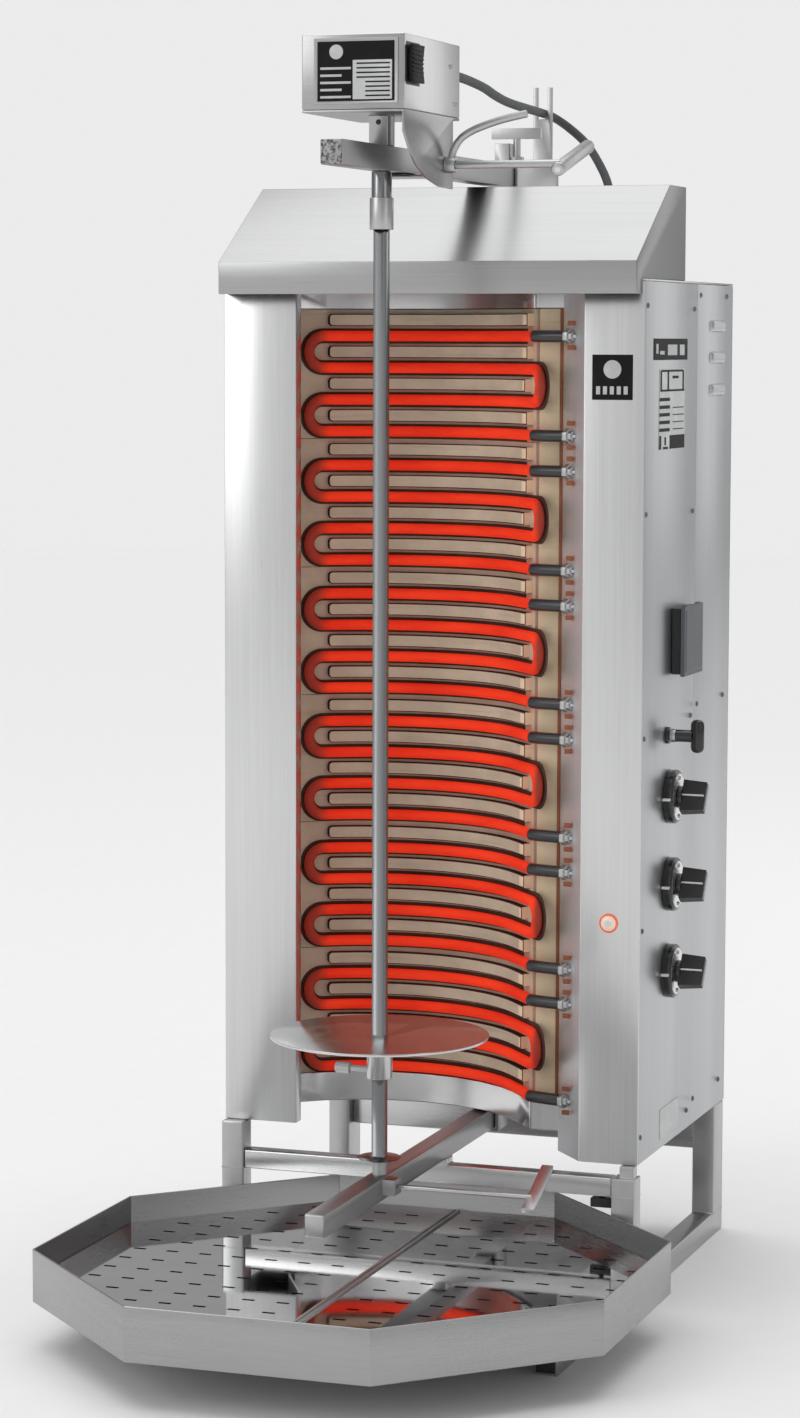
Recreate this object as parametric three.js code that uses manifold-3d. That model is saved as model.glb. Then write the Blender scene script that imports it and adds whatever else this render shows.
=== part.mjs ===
// Upright kebab grill: a tall steel housing with a curved ceramic heater wall, a spit
// driven by a geared motor on a sliding arm, a drip tray and the controls on its right side.
// Millimetres, +Z up. Front faces -Y. Layout values: X from the housing's centre, Y from the
// plane of its front panels, Z from the ground.
import * as THREE from 'three';
import { mergeVertices } from 'three/addons/utils/BufferGeometryUtils.js';
import Module from 'manifold-3d';

const wasm = await Module();
wasm.setup();

// ---- driving dimensions ----
const gap = 0.3;                 // left between pieces that touch
const sheet = 2;                 // sheet metal thickness
const frameTube = 25;            // width and height of the base frame's tube
const uprightDepth = 40;         // depth of the rear uprights

const housing = { halfWidth: 230, depth: 366, top: 1064, bottom: 166, boxBottom: 148 };
const opening = { left: -149, right: 166, boxInnerX: 131, boxInnerY: 42, flange: 15, innerLeftY: 90 };
const rails = { front: -285, postDepth: 25, postFront: -12, crossTop: 135, crossSize: 20 };
const hoodSize = { halfWidth: 227, overhang: 24, lipBottom: 1048.5, lipTop: 1082,
  slopeBack: 104, top: 1162.5, back: 170 };

const wall = { centreX: -64, centreY: -30, radius: 178, startDeg: -46, endDeg: 52, flat: 39,
  bottom: 199, panels: 6, panelHeight: 139.2, thickness: 16 };
const element = { radius: 5.6, standOff: 7, runs: 4, leftBend: 38, rightBend: 355, exit: 325 };
const ridge = { clearance: 5, proud: 7, first: 11.3, start: 44, end: 334 };
const pitch = (wall.panelHeight - 2.4) / element.runs;            // from one run of an element to the next
const ridgeHeight = pitch - 2 * (element.radius + ridge.clearance);
const strip = { left: 105, width: 22, front: 44, depth: 6 };

const spit = { x: 15, y: -197, size: 13, bottom: 183, top: 1125, socketTop: 1126, fit: 0.3 };
const upperArm = { width: 22, height: 24, bottom: 1166, front: -340, back: 285 };
const lowerArm = { width: 20, height: 22, bottom: 143, front: -385, back: 185 };
const armFit = 0.5;              // clearance of the arm in its receiver
const receiver = { front: 205, back: 360, wall: 3 };
const motor = { left: -44, right: 61, front: -263, back: -93, bottom: 1222.3, top: 1294 };
const shaft = { radius: 6, boreFit: 1, collarWall: 0.383, sleeveWall: 1.5, sleeveBottom: 1109,
  sleeveTop: 1140, sleeveFit: 0.3 };
const disc = { radius: 110, bottom: 305.5, thickness: 2.5, hubRadius: 13, hubHeight: 42, screwRise: 8,
  boreFit: 0.5 };
const tray = { acrossFlats: 592, centreY: -232, bottom: 45, rimTop: 99, insertTop: 71, insertGap: 1.5,
  skidWidth: 18, skidInset: 12 };
const knobs = { y: 114.5, heights: [521.6, 428.2, 335.3], bezelRadius: 28.5, bezelDepth: 10, tiltDeg: 32 };
const clampPivot = { y: -137, z: 1174 };
const fork = { y: 345, depth: 3, width: 22, slot: 11, saddle: 1247, top: 1282 };
const cable = { radius: 4.8, x: 96, y: 340, end: 1078.5 };

// ---- finishes ----
const finishes = {
  steel: { color: 0xc5c8c9, roughness: 0.35, metalness: 1 },
  darkSteel: { color: 0x8d9091, roughness: 0.45, metalness: 1 },
  mirrorSteel: { color: 0xd6d8d9, roughness: 0.12, metalness: 1 },
  ceramic: { color: 0x96806b, roughness: 0.9, metalness: 0 },
  fibre: { color: 0xbfa681, roughness: 0.95, metalness: 0 },
  glowing: { color: 0xe23c1e, roughness: 0.6, metalness: 0 },
  blackPlastic: { color: 0x151515, roughness: 0.35, metalness: 0 },
  greyPlastic: { color: 0x6d7072, roughness: 0.5, metalness: 0 },
  orangeLens: { color: 0xe8602a, roughness: 0.2, metalness: 0 },
  cableGrey: { color: 0x4a4c50, roughness: 0.6, metalness: 0 },
};

// ---- shape helpers ----
const machine = new THREE.Group();

function turnOutward(geometry) {          // makes the faces point out
  const p = geometry.attributes.position;
  const index = geometry.index.array;
  const [a, b, c] = [new THREE.Vector3(), new THREE.Vector3(), new THREE.Vector3()];
  let volume = 0;
  for (let i = 0; i < index.length; i += 3) {
    a.fromBufferAttribute(p, index[i]);
    b.fromBufferAttribute(p, index[i + 1]);
    c.fromBufferAttribute(p, index[i + 2]);
    volume += a.dot(b.cross(c));
  }
  if (volume < 0) {
    for (let i = 0; i < index.length; i += 3) [index[i], index[i + 1]] = [index[i + 1], index[i]];
  }
  return geometry;
}

function closed(geometry) {               // merges the shared vertices of a closed shape
  geometry.deleteAttribute('normal');
  geometry.deleteAttribute('uv');
  return turnOutward(mergeVertices(geometry, 1e-4));
}

function solid(geometry) {
  const g = closed(geometry);
  return new wasm.Manifold(new wasm.Mesh({
    numProp: 3,
    vertProperties: new Float32Array(g.attributes.position.array),
    triVerts: new Uint32Array(g.index.array),
  }));
}

function shell(manifold) {                // a solid back to a geometry
  const mesh = manifold.getMesh();
  const geometry = new THREE.BufferGeometry();
  geometry.setAttribute('position', new THREE.BufferAttribute(new Float32Array(mesh.vertProperties), 3));
  geometry.setIndex(new THREE.BufferAttribute(new Uint32Array(mesh.triVerts), 1));
  geometry.computeVertexNormals();
  return geometry;
}

function join(...geometries) {
  return shell(geometries.map(solid).reduce((sum, next) => sum.add(next)));
}

function cut(geometry, ...tools) {
  return shell(tools.map(solid).reduce((rest, tool) => rest.subtract(tool), solid(geometry)));
}

function block([x0, x1], [y0, y1], [z0, z1]) {
  return new THREE.BoxGeometry(x1 - x0, y1 - y0, z1 - z0)
    .translate((x0 + x1) / 2, (y0 + y1) / 2, (z0 + z1) / 2);
}

function prism(outline, depth) {          // an outline extruded along its own +Z
  const shape = new THREE.Shape(outline.map(([x, y]) => new THREE.Vector2(x, y)));
  return new THREE.ExtrudeGeometry(shape, { depth, bevelEnabled: false, steps: 1 });
}

const alongX = new THREE.Matrix4().makeBasis(
  new THREE.Vector3(0, 1, 0), new THREE.Vector3(0, 0, 1), new THREE.Vector3(1, 0, 0));
const alongY = new THREE.Matrix4().makeBasis(
  new THREE.Vector3(1, 0, 0), new THREE.Vector3(0, 0, 1), new THREE.Vector3(0, -1, 0));

const prismX = (outlineYZ, x0, x1) => prism(outlineYZ, x1 - x0).applyMatrix4(alongX).translate(x0, 0, 0);
const prismY = (outlineXZ, y0, y1) => prism(outlineXZ, y1 - y0).applyMatrix4(alongY).translate(0, y1, 0);
const prismZ = (outlineXY, z0, z1) => prism(outlineXY, z1 - z0).translate(0, 0, z0);

function turned(profile, axis, at, segments = 20) {   // profile of [radius, height] from axis to axis
  const geometry = new THREE.LatheGeometry(profile.map(([r, h]) => new THREE.Vector2(r, h)), segments);
  if (axis === 'z') geometry.rotateX(Math.PI / 2);
  if (axis === 'x') geometry.rotateZ(-Math.PI / 2);
  return geometry.translate(...at);
}

const pin = (radius, from, to, axis, at, segments = 16) =>
  turned([[0, from], [radius, from], [radius, to], [0, to]], axis, at, segments);

const ring = (inner, outer, from, to, axis, at, segments = 20) =>
  turned([[inner, from], [outer, from], [outer, to], [inner, to], [inner, from]], axis, at, segments);

function bar(radius, from, to, sides = 12) {          // a round bar between two points
  const a = new THREE.Vector3(...from);
  const b = new THREE.Vector3(...to);
  const geometry = new THREE.CylinderGeometry(radius, radius, a.distanceTo(b), sides);
  geometry.applyQuaternion(new THREE.Quaternion().setFromUnitVectors(
    new THREE.Vector3(0, 1, 0), b.clone().sub(a).normalize()));
  return geometry.translate(...a.add(b).multiplyScalar(0.5).toArray());
}

function tubeAlong(points, radius, sides, steps) {
  const path = new THREE.CatmullRomCurve3(points.map((p) => new THREE.Vector3(...p)), false, 'centripetal');
  const section = new THREE.Shape();
  for (let i = 0; i < sides; i += 1) {
    const angle = (i / sides) * 2 * Math.PI;
    const corner = [radius * Math.cos(angle), radius * Math.sin(angle)];
    if (i === 0) section.moveTo(...corner); else section.lineTo(...corner);
  }
  return new THREE.ExtrudeGeometry(section, { steps, bevelEnabled: false, extrudePath: path });
}

function place(name, geometry, finish, group = machine) {
  const mesh = new THREE.Mesh(closed(geometry), new THREE.MeshStandardMaterial(finishes[finish]));
  mesh.name = name;
  mesh.geometry.computeBoundingBox();
  const anchor = mesh.geometry.boundingBox.getCenter(new THREE.Vector3());
  mesh.geometry.translate(-anchor.x, -anchor.y, -anchor.z);
  mesh.position.copy(anchor);
  group.add(mesh);
}

// ---- the heater wall's line in plan: an arc that runs out into a flat ----
const degree = Math.PI / 180;
const arcLength = (wall.endDeg - wall.startDeg) * degree * wall.radius;
const wallLength = arcLength + wall.flat;

function wallPoint(along, behind) {
  const angle = Math.min(wall.startDeg * degree + along / wall.radius, wall.endDeg * degree);
  const rest = Math.max(along - arcLength, 0);
  const r = wall.radius + behind;
  return [
    wall.centreX + r * Math.sin(angle) + rest * Math.cos(angle),
    wall.centreY + r * Math.cos(angle) - rest * Math.sin(angle),
  ];
}

function wallRun(from, to, behind, steps) {
  const stops = Array.from({ length: steps + 1 }, (_, i) => from + ((to - from) * i) / steps);
  if (from < arcLength && to > arcLength) stops.push(arcLength);
  return stops.sort((a, b) => a - b).map((s) => wallPoint(s, behind));
}

const wallBand = (from, to, front, back, z0, z1, steps = 9) =>
  prismZ([...wallRun(from, to, front, steps), ...wallRun(from, to, back, steps).reverse()], z0, z1);

// ---- base frame ----
function sideFrame(side, postTop, uprightTop) {
  const back = housing.depth - sheet - gap;
  const postBack = rails.postFront + rails.postDepth;
  const outline = [
    [rails.front, 0], [back, 0], [back, uprightTop], [back - uprightDepth, uprightTop],
    [back - uprightDepth, frameTube], [postBack, frameTube], [postBack, postTop],
    [rails.postFront, postTop], [rails.postFront, frameTube], [rails.front, frameTube],
  ];
  const outer = side * housing.halfWidth;
  const inner = side * (housing.halfWidth - frameTube);
  return prismX(outline, Math.min(outer, inner), Math.max(outer, inner));
}

function baseFrame() {
  const span = housing.halfWidth - frameTube - gap;
  const cover = housing.halfWidth - sheet - gap;
  const stub = block([cover - 15, cover], [-8, 8], [rails.crossTop - 1, housing.boxBottom - gap]);
  place('left_side_frame', sideFrame(-1, housing.bottom - gap, housing.bottom - gap), 'steel');
  place('right_side_frame', join(sideFrame(1, rails.crossTop, housing.boxBottom - gap), stub), 'steel');
  const crossBottom = rails.crossTop - rails.crossSize;
  const half = rails.crossSize / 2;
  const pad = block([spit.x - lowerArm.width / 2, spit.x + lowerArm.width / 2], [-half, half],
    [rails.crossTop - 1, lowerArm.bottom - gap]);
  place('front_cross_bar',
    join(block([-span, span], [-half, half], [crossBottom, rails.crossTop]), pad), 'steel');
  place('rear_cross_bar', block([-span, span], [338, 363], [95, rails.crossTop]), 'steel');
}

// ---- housing ----
function housingCovers() {
  const w = housing.halfWidth;
  const back = housing.depth - sheet - gap;
  const top = housing.top - sheet - gap;
  const front = sheet + gap;
  place('left_front_panel', prismZ([
    [-w, 0], [opening.left, 0], [opening.left, opening.flange], [-190, opening.innerLeftY],
    [-190 - sheet, opening.innerLeftY], [opening.left - sheet, opening.flange - 0.5],
    [opening.left - sheet, sheet], [-w, sheet],
  ], housing.bottom, top), 'steel');
  place('left_side_cover', block([-w, -w + sheet], [front, back], [housing.bottom, top]), 'steel');
  place('control_side_cover', block([w - sheet, w], [front, 210], [housing.boxBottom, top]), 'steel');
  place('rear_side_cover', block([w - sheet, w], [210 + gap, back], [housing.boxBottom, top]), 'steel');
  place('rear_cover',
    block([-w, w], [back + gap, housing.depth], [housing.boxBottom, top]), 'darkSteel');
  const grommet = ring(cable.radius + gap, cable.radius + 4, -1, cable.end - housing.top - gap, 'z',
    [cable.x, cable.y, housing.top], 16);
  place('top_cover',
    join(block([-w, w], [0, housing.depth], [housing.top - sheet, housing.top]), grommet), 'steel');
}

function controlBox() {
  const { right, boxInnerX: x, boxInnerY: y } = opening;
  const w = housing.halfWidth;
  const back = housing.depth - sheet - gap;
  const inside = w - sheet - gap;
  const skin = prismZ([
    [w, 0], [right, 0], [x, y], [x, back], [x + sheet, back], [x + sheet, y + 0.7],
    [right + 1, sheet], [w, sheet],
  ], housing.boxBottom, housing.top - sheet - gap);
  const floor = prismZ([
    [inside, 1], [right + 1, 1], [x + 1, y + 0.4], [x + 1, back], [inside, back],
  ], housing.boxBottom, housing.boxBottom + sheet);
  place('control_box', join(skin, floor), 'steel');
  const sockets = knobs.heights.map((z) =>
    block([176, 222], [knobs.y - 24, knobs.y + 24], [z - 24, z + 24]));
  place('switch_block',
    join(block([168, 178], [70, 160], [300, 560]), ...sockets), 'blackPlastic');
}

function floorPlate() {
  const back = housing.depth - sheet - gap;
  const left = -housing.halfWidth + sheet + gap;
  const right = opening.boxInnerX - gap;
  const edge = wallRun(6, wallLength, 3, 9);
  const plate = prismZ([[left, edge[0][1]], ...edge, [right, edge[edge.length - 1][1]], [right, back],
    [left, back]], housing.bottom, housing.bottom + sheet);
  const half = lowerArm.width / 2 + armFit;      // stirrup that carries the lower arm's back end
  const low = lowerArm.bottom - armFit;
  const wallOf = 3.5;
  const stirrup = prismY([
    [spit.x - half - wallOf, housing.bottom + 1], [spit.x - half - wallOf, low - wallOf],
    [spit.x + half + wallOf, low - wallOf], [spit.x + half + wallOf, housing.bottom + 1],
    [spit.x + half, housing.bottom + 1], [spit.x + half, low], [spit.x - half, low],
    [spit.x - half, housing.bottom + 1],
  ], 155, 190);
  const hanger = cut(stirrup, block([spit.x - half, spit.x + half], [150, 195],
    [housing.bottom - 0.1, housing.bottom + 5]));
  place('floor_plate', join(plate, hanger), 'darkSteel');
}

function hood() {
  const { overhang, lipBottom, lipTop, slopeBack, top, back, halfWidth } = hoodSize;
  const seat = housing.top + gap;
  const outer = prismX([[-overhang, lipBottom], [-overhang, lipTop], [slopeBack, top], [back, top],
    [back, seat], [-gap, seat], [-gap, lipBottom]], -halfWidth, halfWidth);
  const inner = prismX([[-overhang + sheet, lipBottom - 1], [-overhang + sheet, lipTop - 1.1],
    [slopeBack + 0.6, top - sheet], [back - sheet, top - sheet], [back - sheet, lipBottom - 1]],
  -halfWidth + sheet, halfWidth - sheet);
  place('hood', cut(outer, inner), 'steel');
}

// ---- heater wall ----
function heaterWall() {
  const z = (panel) => wall.bottom + (wall.panels - 1 - panel) * wall.panelHeight;
  for (let panel = 0; panel < wall.panels; panel += 1) {
    const low = z(panel) + gap;
    const high = z(panel) + wall.panelHeight - gap;
    const ridges = [0, 1, 2, 3].map((k) => {
      const centre = high - ridge.first - k * pitch;
      return wallBand(ridge.start, ridge.end, -ridge.proud, 1, centre - ridgeHeight / 2,
        centre + ridgeHeight / 2, 7);
    });
    const slab = wallBand(0, wallLength, 0, wall.thickness, low, high, 7);
    place(`ceramic_panel_${panel + 1}`, join(slab, ...ridges), 'ceramic');
    place(`heating_element_${panel + 1}`, heatingElement(high), 'glowing');
  }
  const top = wall.bottom + wall.panels * wall.panelHeight;
  place('bottom_reflector',
    wallBand(6, wallLength, -3, -1, housing.bottom + sheet + gap, wall.bottom), 'mirrorSteel');
  place('top_reflector',
    wallBand(6, wallLength, -3, -1, top + gap, housing.top - sheet - gap), 'mirrorSteel');
  place('edge_strip', block([strip.left, strip.left + strip.width],
    [strip.front, strip.front + strip.depth], [wall.bottom, top]), 'fibre');
}

function heatingElement(panelTop) {
  const turn = pitch / 2;
  const run = (k) => panelTop - ridge.first - turn - k * pitch;
  const { leftBend, rightBend, exit, standOff } = element;
  const onWall = (s, height) => [...wallPoint(s, -standOff), height];
  const straight = (from, to, height) => [0, 1, 2, 3, 4].map((i) => onWall(from + ((to - from) * i) / 4, height));
  const bend = (at, side, height) => [-60, 0, 60].map((deg) =>
    onWall(at + side * turn * Math.cos(deg * degree), height - turn * (1 + Math.sin(deg * degree))));
  const terminal = (height) => [[141, 21, height], [124, 25.5, height], [108, 29, height],
    [99, 35, height], [93, 47, height]];
  const points = [
    ...terminal(run(0)), ...straight(exit - 8, leftBend, run(0)),
    ...bend(leftBend, -1, run(0)), ...straight(leftBend, rightBend, run(1)),
    ...bend(rightBend, 1, run(1)), ...straight(rightBend, leftBend, run(2)),
    ...bend(leftBend, -1, run(2)), ...straight(leftBend, exit - 8, run(3)),
    ...terminal(run(3)).reverse(),
  ];
  return tubeAlong(points, element.radius, 6, 60);
}

// ---- upper arm, its receiver and the motor ----
const armLeft = spit.x - upperArm.width / 2;
const armRight = spit.x + upperArm.width / 2;
const armTop = upperArm.bottom + upperArm.height;

function mast() {
  const outer = [armLeft - armFit - receiver.wall, armRight + armFit + receiver.wall];
  const low = upperArm.bottom - armFit - receiver.wall;
  const high = armTop + armFit + receiver.wall;
  const sleeve = cut(
    block(outer, [receiver.front, receiver.back], [low, high]),
    block([armLeft - armFit, armRight + armFit], [receiver.front - 1, receiver.back - receiver.wall],
      [upperArm.bottom - armFit, armTop + armFit]));
  const post = block(outer, [334, receiver.back], [housing.top + gap, low + 1]);
  const stop = block([-7, 9.5], [238, 254], [high - 1, 1215]);
  const nut = pin(8, high - 1, high + 7, 'z', [16, 246, 0], 6);
  const bore = pin(4.4, armTop - 5, high + 9, 'z', [16, 246, 0]);
  const cheek = (x0, x1) => block([x0, x1], [fork.y, fork.y + fork.depth], [fork.saddle - 1, fork.top]);
  const left = spit.x - fork.width / 2;
  const right = spit.x + fork.width / 2;
  const prong = (fork.width - fork.slot) / 2;
  const plate = block([left, right], [fork.y, fork.y + fork.depth], [high - 1, fork.saddle]);
  place('mast', cut(join(sleeve, post, stop, nut, plate, cheek(left, left + prong),
    cheek(right - prong, right)), bore), 'steel');
  const head = block([-12, 44], [242, 250], [1220, 1231.5]);
  place('arm_clamp_screw', join(pin(4, armTop + 0.7, 1222, 'z', [16, 246, 0]), head), 'steel');
}

function arms() {
  const through = pin(shaft.radius + shaft.boreFit, upperArm.bottom - 1, armTop + 1, 'z', [spit.x, spit.y, 0]);
  place('upper_arm', cut(block([armLeft, armRight], [upperArm.front, upperArm.back],
    [upperArm.bottom, armTop]), through), 'steel');
  const top = lowerArm.bottom + lowerArm.height;
  const side = spit.x + lowerArm.width / 2;
  place('lower_arm', join(
    block([side - lowerArm.width, side], [lowerArm.front, lowerArm.back], [lowerArm.bottom, top]),
    block([side - 1, side + 13], [spit.y - 19, spit.y + 1], [148, 164]),
    ring(4.5, 7, top - 0.5, spit.bottom - 2.5, 'z', [spit.x, spit.y, 0])), 'steel');
}

function motorUnit() {
  const { left, right, front, back, bottom, top } = motor;
  place('motor_box', cut(block([left, right], [front, back], [bottom, top]),
    block([left + sheet, right - sheet], [front + sheet, back - sheet], [bottom - 1, top - sheet])), 'steel');
  const plateTop = bottom - gap;
  const plate = block([left, right], [front, back], [plateTop - 2.5, plateTop]);
  const cheek = prismX([
    [front, plateTop], [front, 1201], [-252, 1190], [-245, 1183], [-226, 1170], [-197, 1159],
    [-157, 1152], [-113, 1151], [-113, plateTop],
  ], right - 2.5, right);
  const half = 10;
  const neck = block([spit.x - half, spit.x + half], [spit.y - half, spit.y + half],
    [armTop + gap, plateTop - 1]);
  const tab = block([-2, right - 1], [-152, -122], [1161, 1164]);
  const bore = pin(shaft.radius + shaft.boreFit, armTop - 1, plateTop + 1, 'z', [spit.x, spit.y, 0]);
  place('motor_bracket', cut(join(plate, cheek, neck, tab), bore), 'steel');
  place('gear_motor', join(
    block([-22, 46], [-240, -150], [bottom + 2.5, bottom + 42]),
    pin(24, bottom + 41, top - sheet - 2, 'z', [spit.x - 3, spit.y, 0], 18)), 'darkSteel');
  place('motor_switch', prismY([
    [right + 0.4, 1266], [right + 2.8, 1284], [right + 6.5, 1284], [right + 4.5, 1266],
    [right + 6.5, 1248], [right + 2.8, 1248],
  ], -256, -221), 'blackPlastic');
}

function spitDrive() {
  const { radius, collarWall, sleeveWall, sleeveBottom, sleeveTop, sleeveFit } = shaft;
  const hole = spit.size + 2 * spit.fit;
  const collarRadius = hole / Math.SQRT2 + collarWall;
  const sleeveBore = collarRadius + sleeveFit;
  const at = [spit.x, spit.y, 0];
  const square = (size, z0, z1) => block([spit.x - size / 2, spit.x + size / 2],
    [spit.y - size / 2, spit.y + size / 2], [z0, z1]);
  const neckTop = motor.bottom + 2.2;
  place('drive_shaft', cut(
    turned([[0, sleeveBottom + 2], [collarRadius, sleeveBottom + 2],
      [collarRadius, upperArm.bottom - 0.6], [radius, upperArm.bottom - 0.6], [radius, neckTop],
      [0, neckTop]], 'z', at, 24),
    square(hole, sleeveBottom - 1, spit.socketTop)), 'steel');
  place('coupling_sleeve',
    ring(sleeveBore, sleeveBore + sleeveWall, sleeveBottom, sleeveTop, 'z', at, 24), 'steel');
  place('spit_bar', join(square(spit.size, spit.bottom, spit.top),
    turned([[0, 167], [4, 167], [4, spit.bottom - 1.7], [22, spit.bottom - 1.7], [22, spit.bottom + 0.3],
      [0, spit.bottom + 0.3]], 'z', at, 24)), 'steel');
  const hubBottom = disc.bottom - disc.hubHeight;
  const screwHeight = hubBottom + disc.screwRise;
  const face = spit.x - spit.size / 2;
  place('meat_disc', cut(
    turned([[0, hubBottom], [disc.hubRadius, hubBottom], [disc.hubRadius, disc.bottom],
      [disc.radius, disc.bottom], [disc.radius, disc.bottom + disc.thickness],
      [0, disc.bottom + disc.thickness]], 'z', at, 48),
    square(spit.size + 2 * disc.boreFit, hubBottom - 1, disc.bottom + disc.thickness + 1),
    pin(3.9, face - 20, face, 'x', [0, spit.y, screwHeight])), 'mirrorSteel');
  place('disc_screw', join(pin(3.5, face - 34, face - gap, 'x', [0, spit.y, screwHeight]),
    pin(6, face - 40, face - 24, 'x', [0, spit.y, screwHeight])), 'steel');
}

function handles() {
  const { y, z } = clampPivot;
  const start = motor.right + gap;
  place('clamp_handle', join(pin(4, start, 180, 'x', [0, y, z]),
    bar(7, [178, y - 4, z - 6], [178, y + 104, z + 22])), 'steel');
  const hub = ring(4.5, 8, start + 0.1, 72, 'x', [0, y, z]);
  const lever = tubeAlong([[67, y, z + 6.5], [70, y, 1190], [76, y, 1199], [86, y, 1206], [101, y, 1212],
    [121, y, 1218], [145, y, 1223]], 3.9, 8, 12);
  place('release_lever', join(hub, lever), 'steel');
  const low = { y: spit.y - 9, z: 156 };
  const rodStart = spit.x + lowerArm.width / 2 + 13 + gap;
  place('lower_clamp_handle', join(pin(2.5, rodStart, 178, 'x', [0, low.y, low.z]), prismX([
    [-158, 178.5], [-226, 149], [-226, 144.5], [-158, 174],
  ], 174, 186)), 'steel');
}

// ---- controls on the right side ----
function controls() {
  const face = housing.halfWidth + gap;
  knobs.heights.forEach((height, i) => {
    const at = [0, knobs.y, height];
    const bezelTop = face + knobs.bezelDepth;
    place(`knob_bezel_${i + 1}`, ring(4.6, knobs.bezelRadius, face, bezelTop, 'x', at, 24), 'blackPlastic');
    const grip = new THREE.BoxGeometry(25, 12, 36).rotateX(-knobs.tiltDeg * degree)
      .translate(bezelTop + 17, knobs.y, height);
    place(`knob_${i + 1}`, join(pin(4, face + 1, bezelTop + 2, 'x', at),
      pin(19, bezelTop + 0.5, bezelTop + 5, 'x', at, 24), grip), 'blackPlastic');
  });
  place('socket_base', block([face, face + 10], [115, 187], [651, 721]), 'blackPlastic');
  place('socket_lid', block([face + 10.3, face + 15], [113, 189], [649, 723]), 'greyPlastic');
  place('main_switch_handle', join(pin(6.5, face, face + 28, 'x', [0, 101, 588], 18),
    block([face + 27, face + 38], [96, 106], [573, 603])), 'blackPlastic');
  place('pilot_lamp', turned([[0, -4], [6, -3.6], [8.5, -2], [8.5, -gap], [0, -gap]].map(([r, h]) => [r, h]),
    'y', [196.8, 0, 401], 20), 'orangeLens');
}

// ---- drip tray ----
const corner = Math.PI / 4;

function octagon(apothem) {
  const r = apothem / Math.cos(corner / 2);
  return Array.from({ length: 8 }, (_, i) => [
    r * Math.cos(corner * (i + 0.5)), tray.centreY + r * Math.sin(corner * (i + 0.5))]);
}

function dripTray() {
  const half = tray.acrossFlats / 2;
  const railTop = frameTube + gap;
  const skid = (side) => {
    const centre = side * (housing.halfWidth - tray.skidInset);
    return block([centre - tray.skidWidth / 2, centre + tray.skidWidth / 2], [-270, -60],
      [railTop, tray.bottom + 1]);
  };
  place('drip_tray', join(cut(prismZ(octagon(half), tray.bottom, tray.rimTop),
    prismZ(octagon(half - sheet), tray.bottom + sheet, tray.rimTop + 1)), skid(-1), skid(1)), 'steel');
  const rim = half - sheet - tray.insertGap;
  const low = tray.bottom + sheet + gap;
  const whole = prismZ(octagon(rim), low, tray.insertTop);
  const hollow = prismZ(octagon(rim - sheet), low - 1, tray.insertTop - sheet);
  const beside = (side, inset) => {          // all that lies on one side of the seam under the lower arm
    const [near, far] = [spit.x + side * inset, spit.x + side * tray.acrossFlats];
    return block([Math.min(near, far), Math.max(near, far)],
      [tray.centreY - half, tray.centreY + half], [0, tray.rimTop]);
  };
  [['left', -1], ['right', 1]].forEach(([name, side]) => {
    const plate = solid(whole.clone()).intersect(solid(beside(side, gap)));
    const under = solid(hollow.clone()).intersect(solid(beside(side, gap + sheet)));
    place(`tray_insert_${name}`, shell(plate.subtract(under)), 'mirrorSteel');
  });
  const latch = housing.halfWidth - frameTube - 13;
  place('tray_latch', join(pin(3, 103, rails.crossTop - rails.crossSize - gap, 'z', [latch, 0, 0]),
    block([latch - 11.5, latch + 11.5], [-5, 5], [102, 112])), 'blackPlastic');
}

// ---- motor cable, held at the motor, in the fork and in the grommet of the top cover ----
function motorCable() {
  const route = [
    [52, motor.back + gap, 1265], [52, -70, 1265], [50, -30, 1264], [46.5, 30, 1261], [40, 85, 1257.5],
    [33.5, 140, 1255], [27, 200, 1254], [21, 260, 1254], [16.5, 310, 1254], [15, 346, 1253.3],
    [21, 368, 1250], [36, 382, 1238], [54, 386, 1221], [70, 382, 1199], [83, 373, 1176],
    [91, 360, 1150], [95, 349, 1122], [cable.x, 342, 1098], [cable.x, cable.y, cable.end + 8],
    [cable.x, cable.y, housing.top + gap],
  ];
  place('motor_cable', tubeAlong(route, cable.radius, 8, 48), 'cableGrey');
}

baseFrame();
housingCovers();
controlBox();
floorPlate();
hood();
heaterWall();
mast();
arms();
motorUnit();
spitDrive();
handles();
controls();
dripTray();
motorCable();

// the origin is on the ground, in the middle of the footprint
const extent = new THREE.Box3().setFromObject(machine);
machine.position.set(-(extent.min.x + extent.max.x) / 2, -(extent.min.y + extent.max.y) / 2, 0);

const grill = new THREE.Group();
grill.add(machine);
export default grill;
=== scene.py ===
import math

import bpy
from mathutils import Matrix, Vector


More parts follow.
